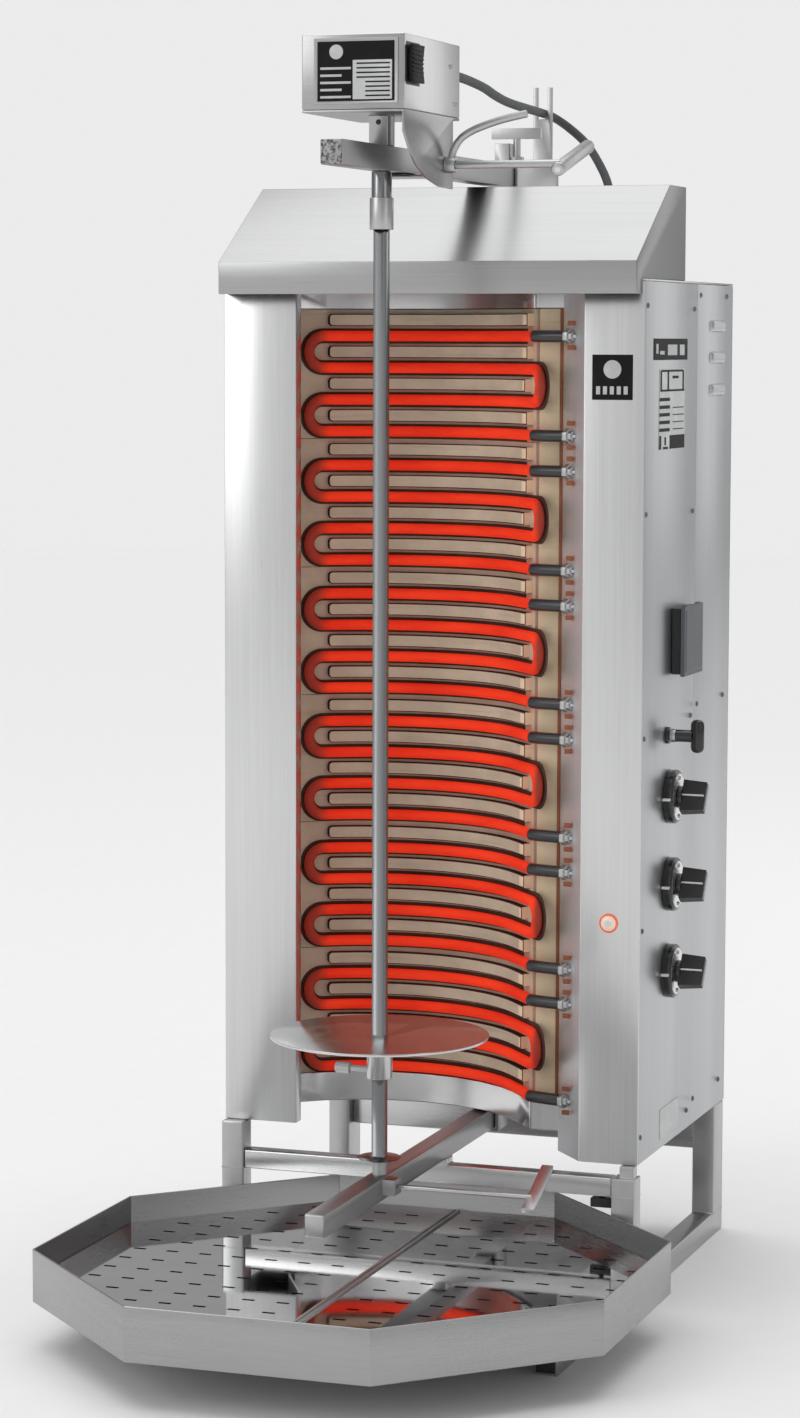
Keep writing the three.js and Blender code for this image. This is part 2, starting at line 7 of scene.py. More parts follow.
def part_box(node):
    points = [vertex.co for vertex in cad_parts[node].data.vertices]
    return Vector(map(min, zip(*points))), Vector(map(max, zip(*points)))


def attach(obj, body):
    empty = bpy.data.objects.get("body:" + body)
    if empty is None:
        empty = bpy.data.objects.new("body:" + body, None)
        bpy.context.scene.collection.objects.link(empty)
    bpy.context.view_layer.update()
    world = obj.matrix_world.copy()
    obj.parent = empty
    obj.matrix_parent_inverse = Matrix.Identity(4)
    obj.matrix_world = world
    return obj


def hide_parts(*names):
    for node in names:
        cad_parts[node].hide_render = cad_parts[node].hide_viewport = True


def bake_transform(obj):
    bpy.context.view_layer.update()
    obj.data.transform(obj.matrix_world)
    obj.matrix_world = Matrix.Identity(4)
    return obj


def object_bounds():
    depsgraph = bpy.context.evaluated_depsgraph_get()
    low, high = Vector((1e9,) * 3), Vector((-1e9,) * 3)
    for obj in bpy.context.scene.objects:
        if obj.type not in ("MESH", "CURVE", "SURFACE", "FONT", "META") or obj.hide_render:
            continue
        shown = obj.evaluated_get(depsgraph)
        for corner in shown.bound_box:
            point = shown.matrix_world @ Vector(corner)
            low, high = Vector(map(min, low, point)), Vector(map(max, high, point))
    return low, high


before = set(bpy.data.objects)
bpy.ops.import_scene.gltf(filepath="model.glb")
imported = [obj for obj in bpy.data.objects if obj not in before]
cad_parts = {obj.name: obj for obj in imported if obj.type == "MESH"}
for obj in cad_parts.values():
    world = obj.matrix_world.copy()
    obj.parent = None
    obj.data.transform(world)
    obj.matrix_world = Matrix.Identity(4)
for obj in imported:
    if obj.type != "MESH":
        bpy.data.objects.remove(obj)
cadLow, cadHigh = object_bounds()
mm = 0.001
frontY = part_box("left_front_panel")[0].y      # the plane of the front panels
print("frame loaded")


# places are given from the housing's centre, its front plane and the ground, in millimetres
def spot(x, y, z):
    return Vector((x * mm, frontY + y * mm, z * mm))


# the camera stands in front, to the right of the middle, and looks a little down
shot = {"place": (1234.9, -3673.8, 1000.0), "aim": (-32.4, 0, 615.9), "roll": 0.165, "lens": 94.48,
        "sensor": 36, "near": 0.1, "far": 60}


def addCamera():
    bpy.ops.object.camera_add(location=spot(*shot["place"]))
    camera = bpy.context.object
    camera.name = "camera"
    look = spot(*shot["aim"]) - spot(*shot["place"])
    turn = look.to_track_quat("-Z", "Y").to_matrix() @ Matrix.Rotation(math.radians(shot["roll"]), 3, "Z")
    camera.rotation_euler = turn.to_euler()
    camera.data.lens = shot["lens"]
    camera.data.sensor_width = shot["sensor"]
    camera.data.clip_start = shot["near"]
    camera.data.clip_end = shot["far"]
    bpy.context.scene.camera = camera


addCamera()
print("camera placed")


# angles between faces, in degrees, and how a CAD node's copy is merged
shading = {"bevelAbove": 30, "smoothBelow": 38, "tubeBelow": 50}
merging = {"distance": 0.01, "flat": 0.6}


def activate(piece):
    bpy.ops.object.select_all(action="DESELECT")
    piece.select_set(True)
    bpy.context.view_layer.objects.active = piece


def settle(piece, name):                      # place, turn and size go into the mesh
    activate(piece)
    bpy.ops.object.transform_apply(location=True, rotation=True, scale=True)
    piece.name = name
    piece.data.name = name
    return piece


def applyAll(piece):
    activate(piece)
    for name in [m.name for m in piece.modifiers]:
        bpy.ops.object.modifier_apply(modifier=name)


def soften(piece, width, steps=2):            # rounds the edges, then smooths the shading
    if width:
        bevel = piece.modifiers.new("edge", "BEVEL")
        bevel.width = width * mm
        bevel.segments = steps
        bevel.limit_method = "ANGLE"
        bevel.angle_limit = math.radians(shading["bevelAbove"])
        bevel.harden_normals = False
        applyAll(piece)
    activate(piece)
    bpy.ops.object.shade_smooth_by_angle(angle=math.radians(shading["smoothBelow"]))
    return piece


def edit(piece, mode="FACE"):
    activate(piece)
    bpy.ops.object.mode_set(mode="EDIT")
    bpy.ops.mesh.select_mode(type=mode)
    bpy.ops.mesh.select_all(action="DESELECT")
    bpy.ops.object.mode_set(mode="OBJECT")


def pick(piece, test):                        # selects the faces whose centre and normal pass the test
    edit(piece)
    for face in piece.data.polygons:
        face.select = test(piece.matrix_world @ face.center, face.normal)
    bpy.ops.object.mode_set(mode="EDIT")


def done():
    bpy.ops.object.mode_set(mode="OBJECT")


def insetPicked(width, depth=0.0):
    bpy.ops.mesh.inset(thickness=width * mm, depth=depth * mm)


def faceOutwards(piece):
    activate(piece)
    bpy.ops.object.mode_set(mode="EDIT")
    bpy.ops.mesh.select_all(action="SELECT")
    bpy.ops.mesh.normals_make_consistent(inside=False)
    done()


def slab(name, low, high, round=0.5, steps=2):
    low, high = spot(*low), spot(*high)
    bpy.ops.object.select_all(action="DESELECT")
    bpy.ops.mesh.primitive_cube_add(size=1, location=(low + high) / 2)
    piece = bpy.context.object
    piece.scale = high - low
    settle(piece, name)
    return soften(piece, round, steps)


axes = {"x": (0, math.pi / 2, 0), "y": (-math.pi / 2, 0, 0), "z": (0, 0, 0)}


def turned(name, at, axis, profile, sides=40, round=0.0, steps=2):
    # a round piece: profile lists (radius, height along the axis) from one end to the other
    bpy.ops.object.select_all(action="DESELECT")
    radius, height = profile[0]
    bpy.ops.mesh.primitive_circle_add(vertices=sides, radius=radius * mm, fill_type="NGON",
                                      location=(0, 0, height * mm))
    piece = bpy.context.object
    bpy.ops.object.transform_apply(location=True)
    bpy.ops.object.mode_set(mode="EDIT")
    bpy.ops.mesh.select_all(action="SELECT")
    for nextRadius, nextHeight in profile[1:]:
        move = (0, 0, (nextHeight - height) * mm)
        bpy.ops.mesh.extrude_region_move(TRANSFORM_OT_translate={"value": move})
        size = nextRadius / radius
        bpy.ops.transform.resize(value=(size, size, 1), center_override=(0, 0, nextHeight * mm))
        radius, height = nextRadius, nextHeight
    bpy.ops.mesh.select_all(action="SELECT")
    bpy.ops.mesh.normals_make_consistent(inside=False)
    done()
    piece.rotation_euler = axes[axis]
    piece.location = spot(*at)
    settle(piece, name)
    return soften(piece, round, steps)


def tube(name, points, radius, sides):        # a rod that follows points given in millimetres
    curve = bpy.data.curves.new(name, "CURVE")
    curve.dimensions = "3D"
    curve.bevel_depth = radius * mm
    curve.bevel_resolution = sides
    curve.use_fill_caps = True
    line = curve.splines.new("POLY")
    line.points.add(len(points) - 1)
    for knot, point in zip(line.points, points):
        knot.co = (*spot(*point), 1)
    piece = bpy.data.objects.new(name, curve)
    bpy.context.collection.objects.link(piece)
    activate(piece)
    bpy.ops.object.convert(target="MESH")
    piece = bpy.context.object
    piece.name = name
    bpy.ops.object.shade_smooth_by_angle(angle=math.radians(shading["tubeBelow"]))
    return piece


def smoothLine(points, steps):                # a Catmull-Rom curve through the points
    made = []
    ends = [points[0], *points, points[-1]]
    for i in range(len(points) - 1):
        a, b, c, d = (Vector(p) for p in ends[i:i + 4])
        for k in range(steps):
            t = k / steps
            made.append(0.5 * ((2 * b) + (c - a) * t + (2 * a - 5 * b + 4 * c - d) * t ** 2
                               + (3 * b - a - 3 * c + d) * t ** 3))
    made.append(Vector(points[-1]))
    return [tuple(p) for p in made]


def twin(piece, name, shift):                 # a copy with its own mesh, moved by millimetres
    copy = piece.copy()
    copy.data = piece.data.copy()
    copy.name = name
    copy.data.name = name
    bpy.context.collection.objects.link(copy)
    copy.data.transform(Matrix.Translation(Vector(shift) * mm))
    return copy


def joined(name, *parts):
    bpy.ops.object.select_all(action="DESELECT")
    for part in parts:
        part.select_set(True)
    bpy.context.view_layer.objects.active = parts[0]
    bpy.ops.object.join()
    parts[0].name = name
    parts[0].data.name = name
    return parts[0]


def carve(piece, cutter):
    tool = piece.modifiers.new("cut", "BOOLEAN")
    tool.operation = "DIFFERENCE"
    tool.solver = "EXACT"
    tool.object = cutter
    applyAll(piece)
    bpy.data.objects.remove(cutter)
    return piece


def fromNode(node, round, steps=2, name=None):   # a merged copy of a CAD node with rounded edges
    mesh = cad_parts[node].data.copy()
    mesh.materials.clear()
    piece = bpy.data.objects.new(name or node + "_skin", mesh)
    bpy.context.collection.objects.link(piece)
    activate(piece)
    bpy.ops.object.mode_set(mode="EDIT")
    bpy.ops.mesh.select_all(action="SELECT")
    bpy.ops.mesh.remove_doubles(threshold=merging["distance"] * mm)
    bpy.ops.mesh.dissolve_limited(angle_limit=math.radians(merging["flat"]))
    bpy.ops.object.mode_set(mode="OBJECT")
    soften(piece, round, steps)
    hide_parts(node)
    return piece


def twoSheets(piece, first, second, test):    # faces whose normal passes the test take the second finish
    piece.data.materials.clear()
    piece.data.materials.append(first)
    piece.data.materials.append(second)
    for side in piece.data.polygons:
        side.material_index = int(test(side.normal))


def finishPiece(piece, body, material, slot):   # with material None it keeps the ones it has
    if material is not None:
        piece.data.materials.clear()
        piece.data.materials.append(material)
    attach(piece, body)
    return piece


# a wire is a socket that takes part in sums
class Wire:
    def __init__(self, graph, socket):
        self.graph, self.socket = graph, socket

    def __add__(self, other):
        return self.graph.maths("ADD", self, other)

    def __radd__(self, other):
        return self.graph.maths("ADD", other, self)

    def __sub__(self, other):
        return self.graph.maths("SUBTRACT", self, other)

    def __rsub__(self, other):
        return self.graph.maths("SUBTRACT", other, self)

    def __mul__(self, other):
        return self.graph.maths("MULTIPLY", self, other)

    def __rmul__(self, other):
        return self.graph.maths("MULTIPLY", other, self)


class Graph:                                  # the nodes of a material or of the world
    def __init__(self, owner, place="Object"):
        owner.use_nodes = True
        self.owner = owner
        self.tree = owner.node_tree
        self.place = self.node("ShaderNodeTexCoord", {}, {}, place)

    def node(self, kind, settings, inputs, output=0):
        made = self.tree.nodes.new(kind)
        for key, value in settings.items():
            setattr(made, key, value)
        for key, value in inputs.items():
            if isinstance(value, Wire):
                self.tree.links.new(value.socket, made.inputs[key])
            else:
                made.inputs[key].default_value = value
        return Wire(self, made.outputs[output])

    def maths(self, operation, a, b):
        return self.node("ShaderNodeMath", {"operation": operation}, {0: a, 1: b})

    def scaled(self, scale, shift=(0, 0, 0)):
        return self.node("ShaderNodeMapping", {}, {"Vector": self.place, "Scale": scale, "Location": shift})

    def noise(self, scale, detail=2.0, rough=0.5, shift=(0, 0, 0)):
        sockets = {"Vector": self.scaled(scale, shift), "Scale": 1.0, "Detail": detail, "Roughness": rough}
        return self.node("ShaderNodeTexNoise", {}, sockets)

    def band(self, value, low, high):         # 0 below low, 1 above high
        return self.node("ShaderNodeMapRange", {"interpolation_type": "SMOOTHSTEP"},
                         {"Value": value, "From Min": low, "From Max": high})

    def blend(self, factor, a, b):            # sockets 6 and 7 and output 2 are the colour ones
        a = a if isinstance(a, Wire) else (*a, 1)
        b = b if isinstance(b, Wire) else (*b, 1)
        return self.node("ShaderNodeMix", {"data_type": "RGBA"}, {0: factor, 6: a, 7: b}, 2)

    def along(self, axis):
        return self.node("ShaderNodeSeparateXYZ", {}, {"Vector": self.place}, axis)

    def bump(self, height, strength, distance):
        sockets = {"Height": height, "Strength": strength, "Distance": distance}
        return self.node("ShaderNodeBump", {}, sockets)

    def finish(self, **settings):
        names = {"colour": "Base Color", "roughness": "Roughness", "metallic": "Metallic",
                 "normal": "Normal", "coat": "Coat Weight",
                 "coatRoughness": "Coat Roughness", "specular": "Specular IOR Level",
                 "glow": "Emission Color", "glowStrength": "Emission Strength"}
        shader = self.tree.nodes["Principled BSDF"]
        for key, value in settings.items():
            socket = shader.inputs[names[key]]
            if isinstance(value, Wire):
                self.tree.links.new(value.socket, socket)
            elif isinstance(value, tuple):
                socket.default_value = (*value, 1)
            else:
                socket.default_value = value
        return self.owner


def newMaterial(name):
    return Graph(bpy.data.materials.new(name))


def brushedSteel(name, across, tone=0.66, rough=0.3, stain=0.5, tint=(0.99, 0.994, 1.0)):
    # across: lines per metre in X, Y and Z; the lines run where it is small
    g = newMaterial(name)
    hair = g.noise(across, 3, 0.6)
    coarse = g.noise(tuple(a * 0.22 for a in across), 2, 0.5, (3.1, 1.7, 5.3))
    cloud = g.noise((5, 5, 3.2), 3, 0.55, (0.4, 2.2, 1.1))
    dark = tuple(tone * c * 0.945 for c in tint)
    light = tuple(min(tone * c * 1.045, 1) for c in tint)
    colour = g.blend(g.band(hair * 0.45 + coarse * 0.25 + cloud * 0.3, 0.32, 0.68), dark, light)
    return g.finish(colour=colour, metallic=1.0,
                    roughness=rough - 0.075 + hair * 0.07 + cloud * 0.14 * stain,
                    normal=g.bump(hair * 0.7 + coarse * 0.3, 0.045, 0.0004))


def polishedSteel(name, tone=0.78, rough=0.07, smears=0.06):
    g = newMaterial(name)
    smear = g.noise((14, 14, 14), 4, 0.6)
    wave = g.noise((4, 4, 4), 1, 0.4, (1.2, 0.3, 2.2))
    fleck = g.noise((420, 420, 420), 2, 0.7)
    colour = g.blend(g.band(smear, 0.35, 0.7), (tone * 0.93, tone * 0.935, tone * 0.94),
                     (tone, tone, tone * 1.01))
    return g.finish(colour=colour, metallic=1.0, roughness=rough + smear * smears + fleck * 0.02,
                    normal=g.bump(wave, 0.12, 0.004))


def plainSteel(name, tone=0.42, rough=0.42, grain=60, contrast=0.15):
    g = newMaterial(name)
    spangle = g.noise((grain, grain, grain), 3, 0.5)
    cloud = g.noise((6, 6, 6), 3, 0.55)
    colour = g.blend(g.band(spangle * 0.75 + cloud * 0.25, 0.38, 0.62), (tone * (1 - contrast),) * 3,
                     (tone * (1 + contrast * 0.8),) * 3)
    return g.finish(colour=colour, metallic=1.0, roughness=rough + cloud * 0.15 - 0.07,
                    normal=g.bump(spangle, 0.05, 0.0005))


def ceramicFace(name, pale, dark, soot):
    g = newMaterial(name)
    grit = g.noise((900, 900, 900), 4, 0.65)
    blotch = g.noise((16, 16, 22), 4, 0.6)
    streak = g.noise((9, 9, 170), 3, 0.6)
    colour = g.blend(g.band(blotch * 0.7 + grit * 0.3, 0.3, 0.72), dark, pale)
    colour = g.blend(g.band(streak, 0.52, 0.8) * 0.5, colour, soot)
    return g.finish(colour=colour, roughness=0.82 + grit * 0.14, metallic=0.0, specular=0.3,
                    normal=g.bump(grit * 0.7 + blotch * 0.3, 0.25, 0.0007))


# where the glow fades towards the cooler bends, in metres along X
heatEnds = {"left": (-0.166, -0.149), "right": (0.106, 0.114)}


def glowingTube(name):
    g = newMaterial(name)
    heat = g.noise((11, 11, 60), 3, 0.55)
    scale = g.noise((260, 260, 260), 3, 0.6)
    across = g.along("X")
    away = g.band(across, *heatEnds["left"]) * (1 - g.band(across, *heatEnds["right"]))
    mix = g.band(heat * 0.8 + scale * 0.2, 0.28, 0.72)
    glow = g.blend(away, (0.085, 0.006, 0.003), g.blend(mix, (0.27, 0.004, 0.001), (0.36, 0.014, 0.003)))
    skin = g.blend(away, (0.27, 0.042, 0.027), g.blend(mix, (0.66, 0.035, 0.012), (0.80, 0.055, 0.018)))
    return g.finish(colour=skin, glow=glow, glowStrength=1.0, roughness=0.62 + scale * 0.2,
                    normal=g.bump(scale, 0.2, 0.0003), specular=0.2)


def plastic(name, colour, rough=0.3, grain=0.05, coat=0.0, specular=0.5):
    g = newMaterial(name)
    spark = g.noise((1400, 1400, 1400), 2, 0.6)
    dust = g.noise((40, 40, 40), 4, 0.65)
    pale = tuple(c * 1.25 + 0.006 for c in colour)
    return g.finish(colour=g.blend(g.band(dust, 0.45, 0.8), colour, pale), roughness=rough + dust * 0.12,
                    coat=coat, coatRoughness=0.12, normal=g.bump(spark, grain, 0.0002), specular=specular)


def rubber(name, colour):
    g = newMaterial(name)
    dust = g.noise((70, 70, 70), 4, 0.6)
    return g.finish(colour=g.blend(g.band(dust, 0.4, 0.75), colour, tuple(c * 1.4 for c in colour)),
                    roughness=0.5 + dust * 0.2, normal=g.bump(dust, 0.1, 0.0004), specular=0.4)


def litLens(name, colour, glow, strength):
    g = newMaterial(name)
    ripple = g.noise((700, 700, 700), 1, 0.4)
    pale = tuple(min(c * 1.2, 1) for c in colour)
    return g.finish(colour=g.blend(g.band(ripple, 0.3, 0.7), colour, pale),
                    roughness=0.16 + ripple * 0.06, glow=glow, glowStrength=strength, coat=0.6,
                    coatRoughness=0.05, normal=g.bump(ripple, 0.15, 0.0004))


coolTint = (0.955, 0.98, 1.0)
steelUp = brushedSteel("steel_brushed_upright", (620, 620, 7), 0.66)
steelInner = brushedSteel("steel_brushed_inner", (620, 620, 7), 0.85, 0.5, 0.5, coolTint)
steelSide = brushedSteel("steel_brushed_side", (620, 620, 7), 0.53, 0.36, 0.5, coolTint)
steelFlat = brushedSteel("steel_brushed_across", (7, 620, 620), 0.6, 0.27)
steelHood = brushedSteel("steel_brushed_hood", (7, 620, 620), 0.4, 0.3)
# painted shade: a darker copy of the hood's steel, for the hood's side wings
steelWingPaintedShade = brushedSteel("steel_brushed_wing_painted_shade", (620, 9, 620), 0.27, 0.33)
steelDeep = brushedSteel("steel_brushed_front_to_back", (520, 8, 520), 0.42, 0.38)
steelTube = brushedSteel("steel_satin_tube", (70, 70, 70), 0.48, 0.33, 0.4)
steelTray = brushedSteel("steel_brushed_tray", (30, 30, 700), 0.39, 0.29)
steelCast = brushedSteel("steel_satin_handles", (120, 120, 120), 0.5, 0.38, 0.3)
steelSpit = brushedSteel("steel_drawn_bar", (420, 420, 9), 0.3, 0.2, 0.4, coolTint)
mirror = polishedSteel("steel_polished_insert", 0.7, 0.02, 0.03)
brightSheet = polishedSteel("steel_bright_sheet", 0.76, 0.2)
mirrorDisc = polishedSteel("steel_polished_disc", 0.66, 0.15)
millSteel = plainSteel("steel_mill", 0.42, 0.4, 60, 0.06)
darkSteel = plainSteel("steel_motor", 0.2, 0.5)
cutSteel = plainSteel("steel_sawn_end", 0.26, 0.55, 330, 0.75)
clay = ceramicFace("ceramic_face", (0.68, 0.58, 0.44), (0.51, 0.43, 0.32), (0.37, 0.3, 0.22))
# the ridges' near black long edges: burn, and painted shade of the channel round the element
clayEdgeBurnAndShade = ceramicFace("ceramic_burnt_edge_and_painted_shade", (0.060, 0.026, 0.018), (0.026, 0.011, 0.008),
                       (0.016, 0.008, 0.006))
clayScorch = ceramicFace("ceramic_scorched", (0.115, 0.062, 0.045), (0.06, 0.03, 0.022),
                         (0.04, 0.02, 0.015))
clayEnd = ceramicFace("ceramic_end_block", (0.95, 0.79, 0.56), (0.84, 0.68, 0.47), (0.72, 0.57, 0.4))
fibre = ceramicFace("fibre_board", (0.78, 0.62, 0.43), (0.64, 0.5, 0.34), (0.52, 0.4, 0.27))
hot = glowingTube("element_glowing")
blackGloss = plastic("plastic_black_gloss", (0.010, 0.010, 0.011), 0.16, 0.03, 0.3)
blackSatin = plastic("plastic_black_satin", (0.016, 0.016, 0.017), 0.36, 0.08)
greyPlastic = plastic("plastic_grey", (0.105, 0.112, 0.12), 0.45, 0.1)
whiteMark = plastic("paint_white", (0.72, 0.72, 0.71), 0.45)
labelBlack = plastic("label_black", (0.005, 0.005, 0.0055), 0.5, 0.02, 0.0, 0.18)
deepBlack = plastic("plastic_black_matt", (0.006, 0.006, 0.0065), 0.5, 0.08, 0.0, 0.25)
labelGrey = plastic("label_grey", (0.5, 0.505, 0.51), 0.4, 0.02)
labelSilver = plastic("label_silver", (0.56, 0.57, 0.57), 0.35, 0.02)
mica = plastic("mica_tag", (0.27, 0.075, 0.03), 0.55, 0.1)
cableSkin = rubber("rubber_grey", (0.075, 0.08, 0.088))
sleeveSkin = plastic("sleeve_black", (0.02, 0.021, 0.024), 0.24, 0.02, 0.2)
lens = litLens("lens_orange", (0.75, 0.13, 0.035), (0.8, 0.08, 0.02), 0.22)
# painted highlight: the lens's pale cream face, with the lamp's own faint glow
lensPaintedHighlight = litLens("lens_pale_core_painted_highlight", (0.82, 0.66, 0.56), (0.9, 0.45, 0.3), 0.12)
print("materials made")


# soft light from a large front left panel, a fill, a wide sun and a rim light, in metres and watts
studio = {"horizon": 0.32, "overhead": 0.5, "frontLeft": 0.42, "backdrop": 0.835, "floor": 0.84,
          "floorRadius": 14, "sun": 1.5, "sunSpread": 70, "sunTurn": (-0.16, -0.14, 0)}
panelLights = {"key": {"at": (-3.2, -3.6, 2.7), "width": 1.8, "height": 2.6, "power": 34},
               "fill": {"at": (3.6, -2.0, 1.6), "width": 1.6, "height": 2.4, "power": 9},
               "rim": {"at": (1.8, 3.6, 2.0), "width": 1.8, "height": 2.6, "power": 12}}


def addPanelLight(name):
    panel = panelLights[name]
    bpy.ops.object.light_add(type="AREA", location=panel["at"])
    light = bpy.context.object
    light.name = name
    light.data.shape = "RECTANGLE"
    light.data.size = panel["width"]
    light.data.size_y = panel["height"]
    light.data.energy = panel["power"]
    centre = (cadLow + cadHigh) / 2
    light.rotation_euler = (centre - Vector(panel["at"])).to_track_quat("-Z", "Y").to_euler()


def addSun():
    bpy.ops.object.light_add(type="SUN", location=(-0.6, -0.5, 4), rotation=studio["sunTurn"])
    sun = bpy.context.object.data
    sun.energy = studio["sun"]
    sun.angle = math.radians(studio["sunSpread"])


def addRoom():                                # a dim room, brighter overhead and at the front left
    world = bpy.data.worlds.new("studio")
    bpy.context.scene.world = world
    g = Graph(world, "Generated")
    facing = g.node("ShaderNodeVectorMath", {"operation": "DOT_PRODUCT"},
                    {0: g.place, 1: (-0.5, -0.86, 0.1)}, "Value")
    level = studio["horizon"] + g.band(g.along("Z"), 0.0, 0.8) * (studio["overhead"] - studio["horizon"])
    level = level + g.band(facing, 0.45, 0.95) * studio["frontLeft"]
    seen = g.node("ShaderNodeLightPath", {}, {}, "Is Camera Ray")
    level = level + seen * (studio["backdrop"] - level)
    background = world.node_tree.nodes["Background"]
    background.inputs["Color"].default_value = (1, 1, 1, 1)
    world.node_tree.links.new(level.socket, background.inputs["Strength"])


def addFloor():
    bpy.ops.object.select_all(action="DESELECT")
    bpy.ops.mesh.primitive_circle_add(vertices=96, radius=studio["floorRadius"], fill_type="NGON")
    floor = settle(bpy.context.object, "floor")
    g = newMaterial("floor_pale")
    speck = g.noise((30, 30, 30), 3, 0.5)
    pale = studio["floor"]
    floor.data.materials.append(g.finish(colour=g.blend(speck, (pale,) * 3, (pale + 0.03,) * 3),
                                         roughness=0.75 + speck * 0.1))


addRoom()
bpy.context.scene.view_settings.view_transform = "Standard"
addPanelLight("key")
addPanelLight("fill")
addSun()
addPanelLight("rim")
addFloor()
print("studio lit")


# the motor cable leaves the motor box, rests in the fork and goes into the top cover
cable = {"diameter": 0.0096, "steps": 8, "sides": 5,
         "givesFrom": (50, -60, 1264), "givesTo": (20, 300, 1254),
         "route": [(52, -92.7, 1265), (52, -70, 1265), (50, -30, 1264), (46.5, 30, 1261), (40, 85, 1257.5),
                   (33.5, 140, 1255), (27, 200, 1254), (21, 260, 1254), (16.5, 310, 1254),
                   (15, 346, 1253.3), (21, 368, 1250), (36, 382, 1238), (54, 386, 1221),
                   (70, 382, 1199), (83, 373, 1176),
                   (91, 360, 1150), (95, 349, 1122), (96, 342, 1098), (96, 340, 1086.5), (96, 340, 1064.3)]}


def makeCable():
    line = smoothLine(cable["route"], cable["steps"])
    skin = tube("motor_cable_sheath", line, cable["diameter"] / mm / 2, cable["sides"])
    skin.data.materials.clear()
    skin.data.materials.append(cableSkin)
    path = [tuple(spot(*p)) for p in line]
    length = sum((Vector(b) - Vector(a)).length for a, b in zip(path, path[1:]))
    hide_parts("motor_cable")
    spot(*cable["givesFrom"])
    spot(*cable["givesTo"])
    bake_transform(skin)
    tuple(path[0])
    print("cable length", round(length, 3))


makeCable()


# base frame: "seams" holds the front, back and height of each ground weld line
base = {"tubeRound": 2.2, "barRound": 1.6, "seamLeft": 204.7, "seamRight": 230.3, "seamOver": 0.25,
        "seamHalf": 0.5, "seams": ((-12, 13, 25), (324, 364, 25), (-12, 13, 115)),
        "plugX": 217.5, "plugHalf": 10, "plugFront": -286.2, "plugBack": -284.6,
        "plugLow": 2.5, "plugHigh": 22.5}


def makeFrame():
    for node in ("left_side_frame", "right_side_frame"):
        finishPiece(fromNode(node, base["tubeRound"], 3), "housing", steelTube, "brushed_steel")
    for node in ("front_cross_bar", "rear_cross_bar"):
        finishPiece(fromNode(node, base["barRound"], 3), "housing", steelFlat, "brushed_steel")
    seams = []
    over, half = base["seamOver"], base["seamHalf"]
    for side in (-1, 1):
        x0, x1 = sorted((side * base["seamLeft"], side * base["seamRight"]))
        for y0, y1, z in base["seams"]:
            seams.append(slab("seam", (x0, y0 - over, z - half), (x1, y1 + over, z + half), 0.3, 1))
    finishPiece(joined("frame_weld_seams", *seams), "housing", steelCast, "brushed_steel")
    half = base["plugHalf"]
    plugs = [slab("plug", (x - half, base["plugFront"], base["plugLow"]),
                  (x + half, base["plugBack"], base["plugHigh"]), 1.2, 3)
             for x in (-base["plugX"], base["plugX"])]
    finishPiece(joined("frame_end_plugs", *plugs), "housing", blackSatin, "black_plastic")


makeFrame()
print("base frame made")


# a screw's recess is given in shares of its radius and of its rise
screw = {"rise": 1.7, "recessLong": 0.52, "recessWide": 0.11, "recessFloor": 0.45}


def capScrew(name, at, axis, radius):         # a low round head with a cross recess
    rise = screw["rise"]
    head = turned(name, (0, -frontY / mm, 0), "z",
                  [(radius, -0.3), (radius, rise * 0.35), (radius * 0.78, rise * 0.8),
                   (radius * 0.4, rise)], 24, 0.2, 1)
    arm, wide = radius * screw["recessLong"], radius * screw["recessWide"]
    for size in ((arm, wide), (wide, arm)):
        low = (-size[0], -frontY / mm - size[1], rise * screw["recessFloor"])
        high = (size[0], -frontY / mm + size[1], rise + 1)
        carve(head, slab("recess", low, high, 0))
    head.rotation_euler = axes[axis]
    head.location = spot(*at)
    return settle(head, name)


def screwSet(name, spots, axis, body, radius, material=steelCast):
    first = capScrew(name, spots[0], axis, radius)
    rest = [twin(first, name, [b - a for a, b in zip(spots[0], place)]) for place in spots[1:]]
    return finishPiece(joined(name, first, *rest), body, material, "brushed_steel")


# housing sheets: screws by Y and Z, vent hoods by height
sheets = {"half": 230, "sideScrews": ((9, 1037), (198, 1035), (9, 824), (198, 820), (198, 600), (9, 593),
                                      (9, 393), (9, 176), (198, 168)),
          "rearScrewY": (224, 338), "rearScrewZ": (1050, 610, 176),
          "leftScrewY": (16, 190, 348), "leftScrewZ": (1044, 610, 184), "screwRadius": 2.9}
vent = {"y": 296, "heights": (1017, 983, 948), "width": 62, "height": 15, "root": 229.4, "crest": 233.6,
        "mouthFrom": 229.9, "mouthTo": 231.6, "mouthShare": 0.4, "lean": 0.16}


def ventHood(z):                              # pressed out of the right side, with its mouth below
    y, width, height = vent["y"], vent["width"], vent["height"]
    piece = slab("vent_louvres", (vent["root"], y - width / 2, z - height / 2),
                 (vent["crest"], y + width / 2, z + height / 2), 0)
    pick(piece, lambda c, n: n.x > 0.9)
    centre = spot(vent["crest"], y, z + height * vent["lean"])
    bpy.ops.transform.resize(value=(1, 0.86, 0.6), center_override=centre)
    done()
    soften(piece, 2.2, 4)
    reach = width * vent["mouthShare"]
    mouth = slab("mouth", (vent["mouthFrom"], y - reach, z - height / 2 - 1),
                 (vent["mouthTo"], y + reach, z), 0)
    return carve(piece, mouth)


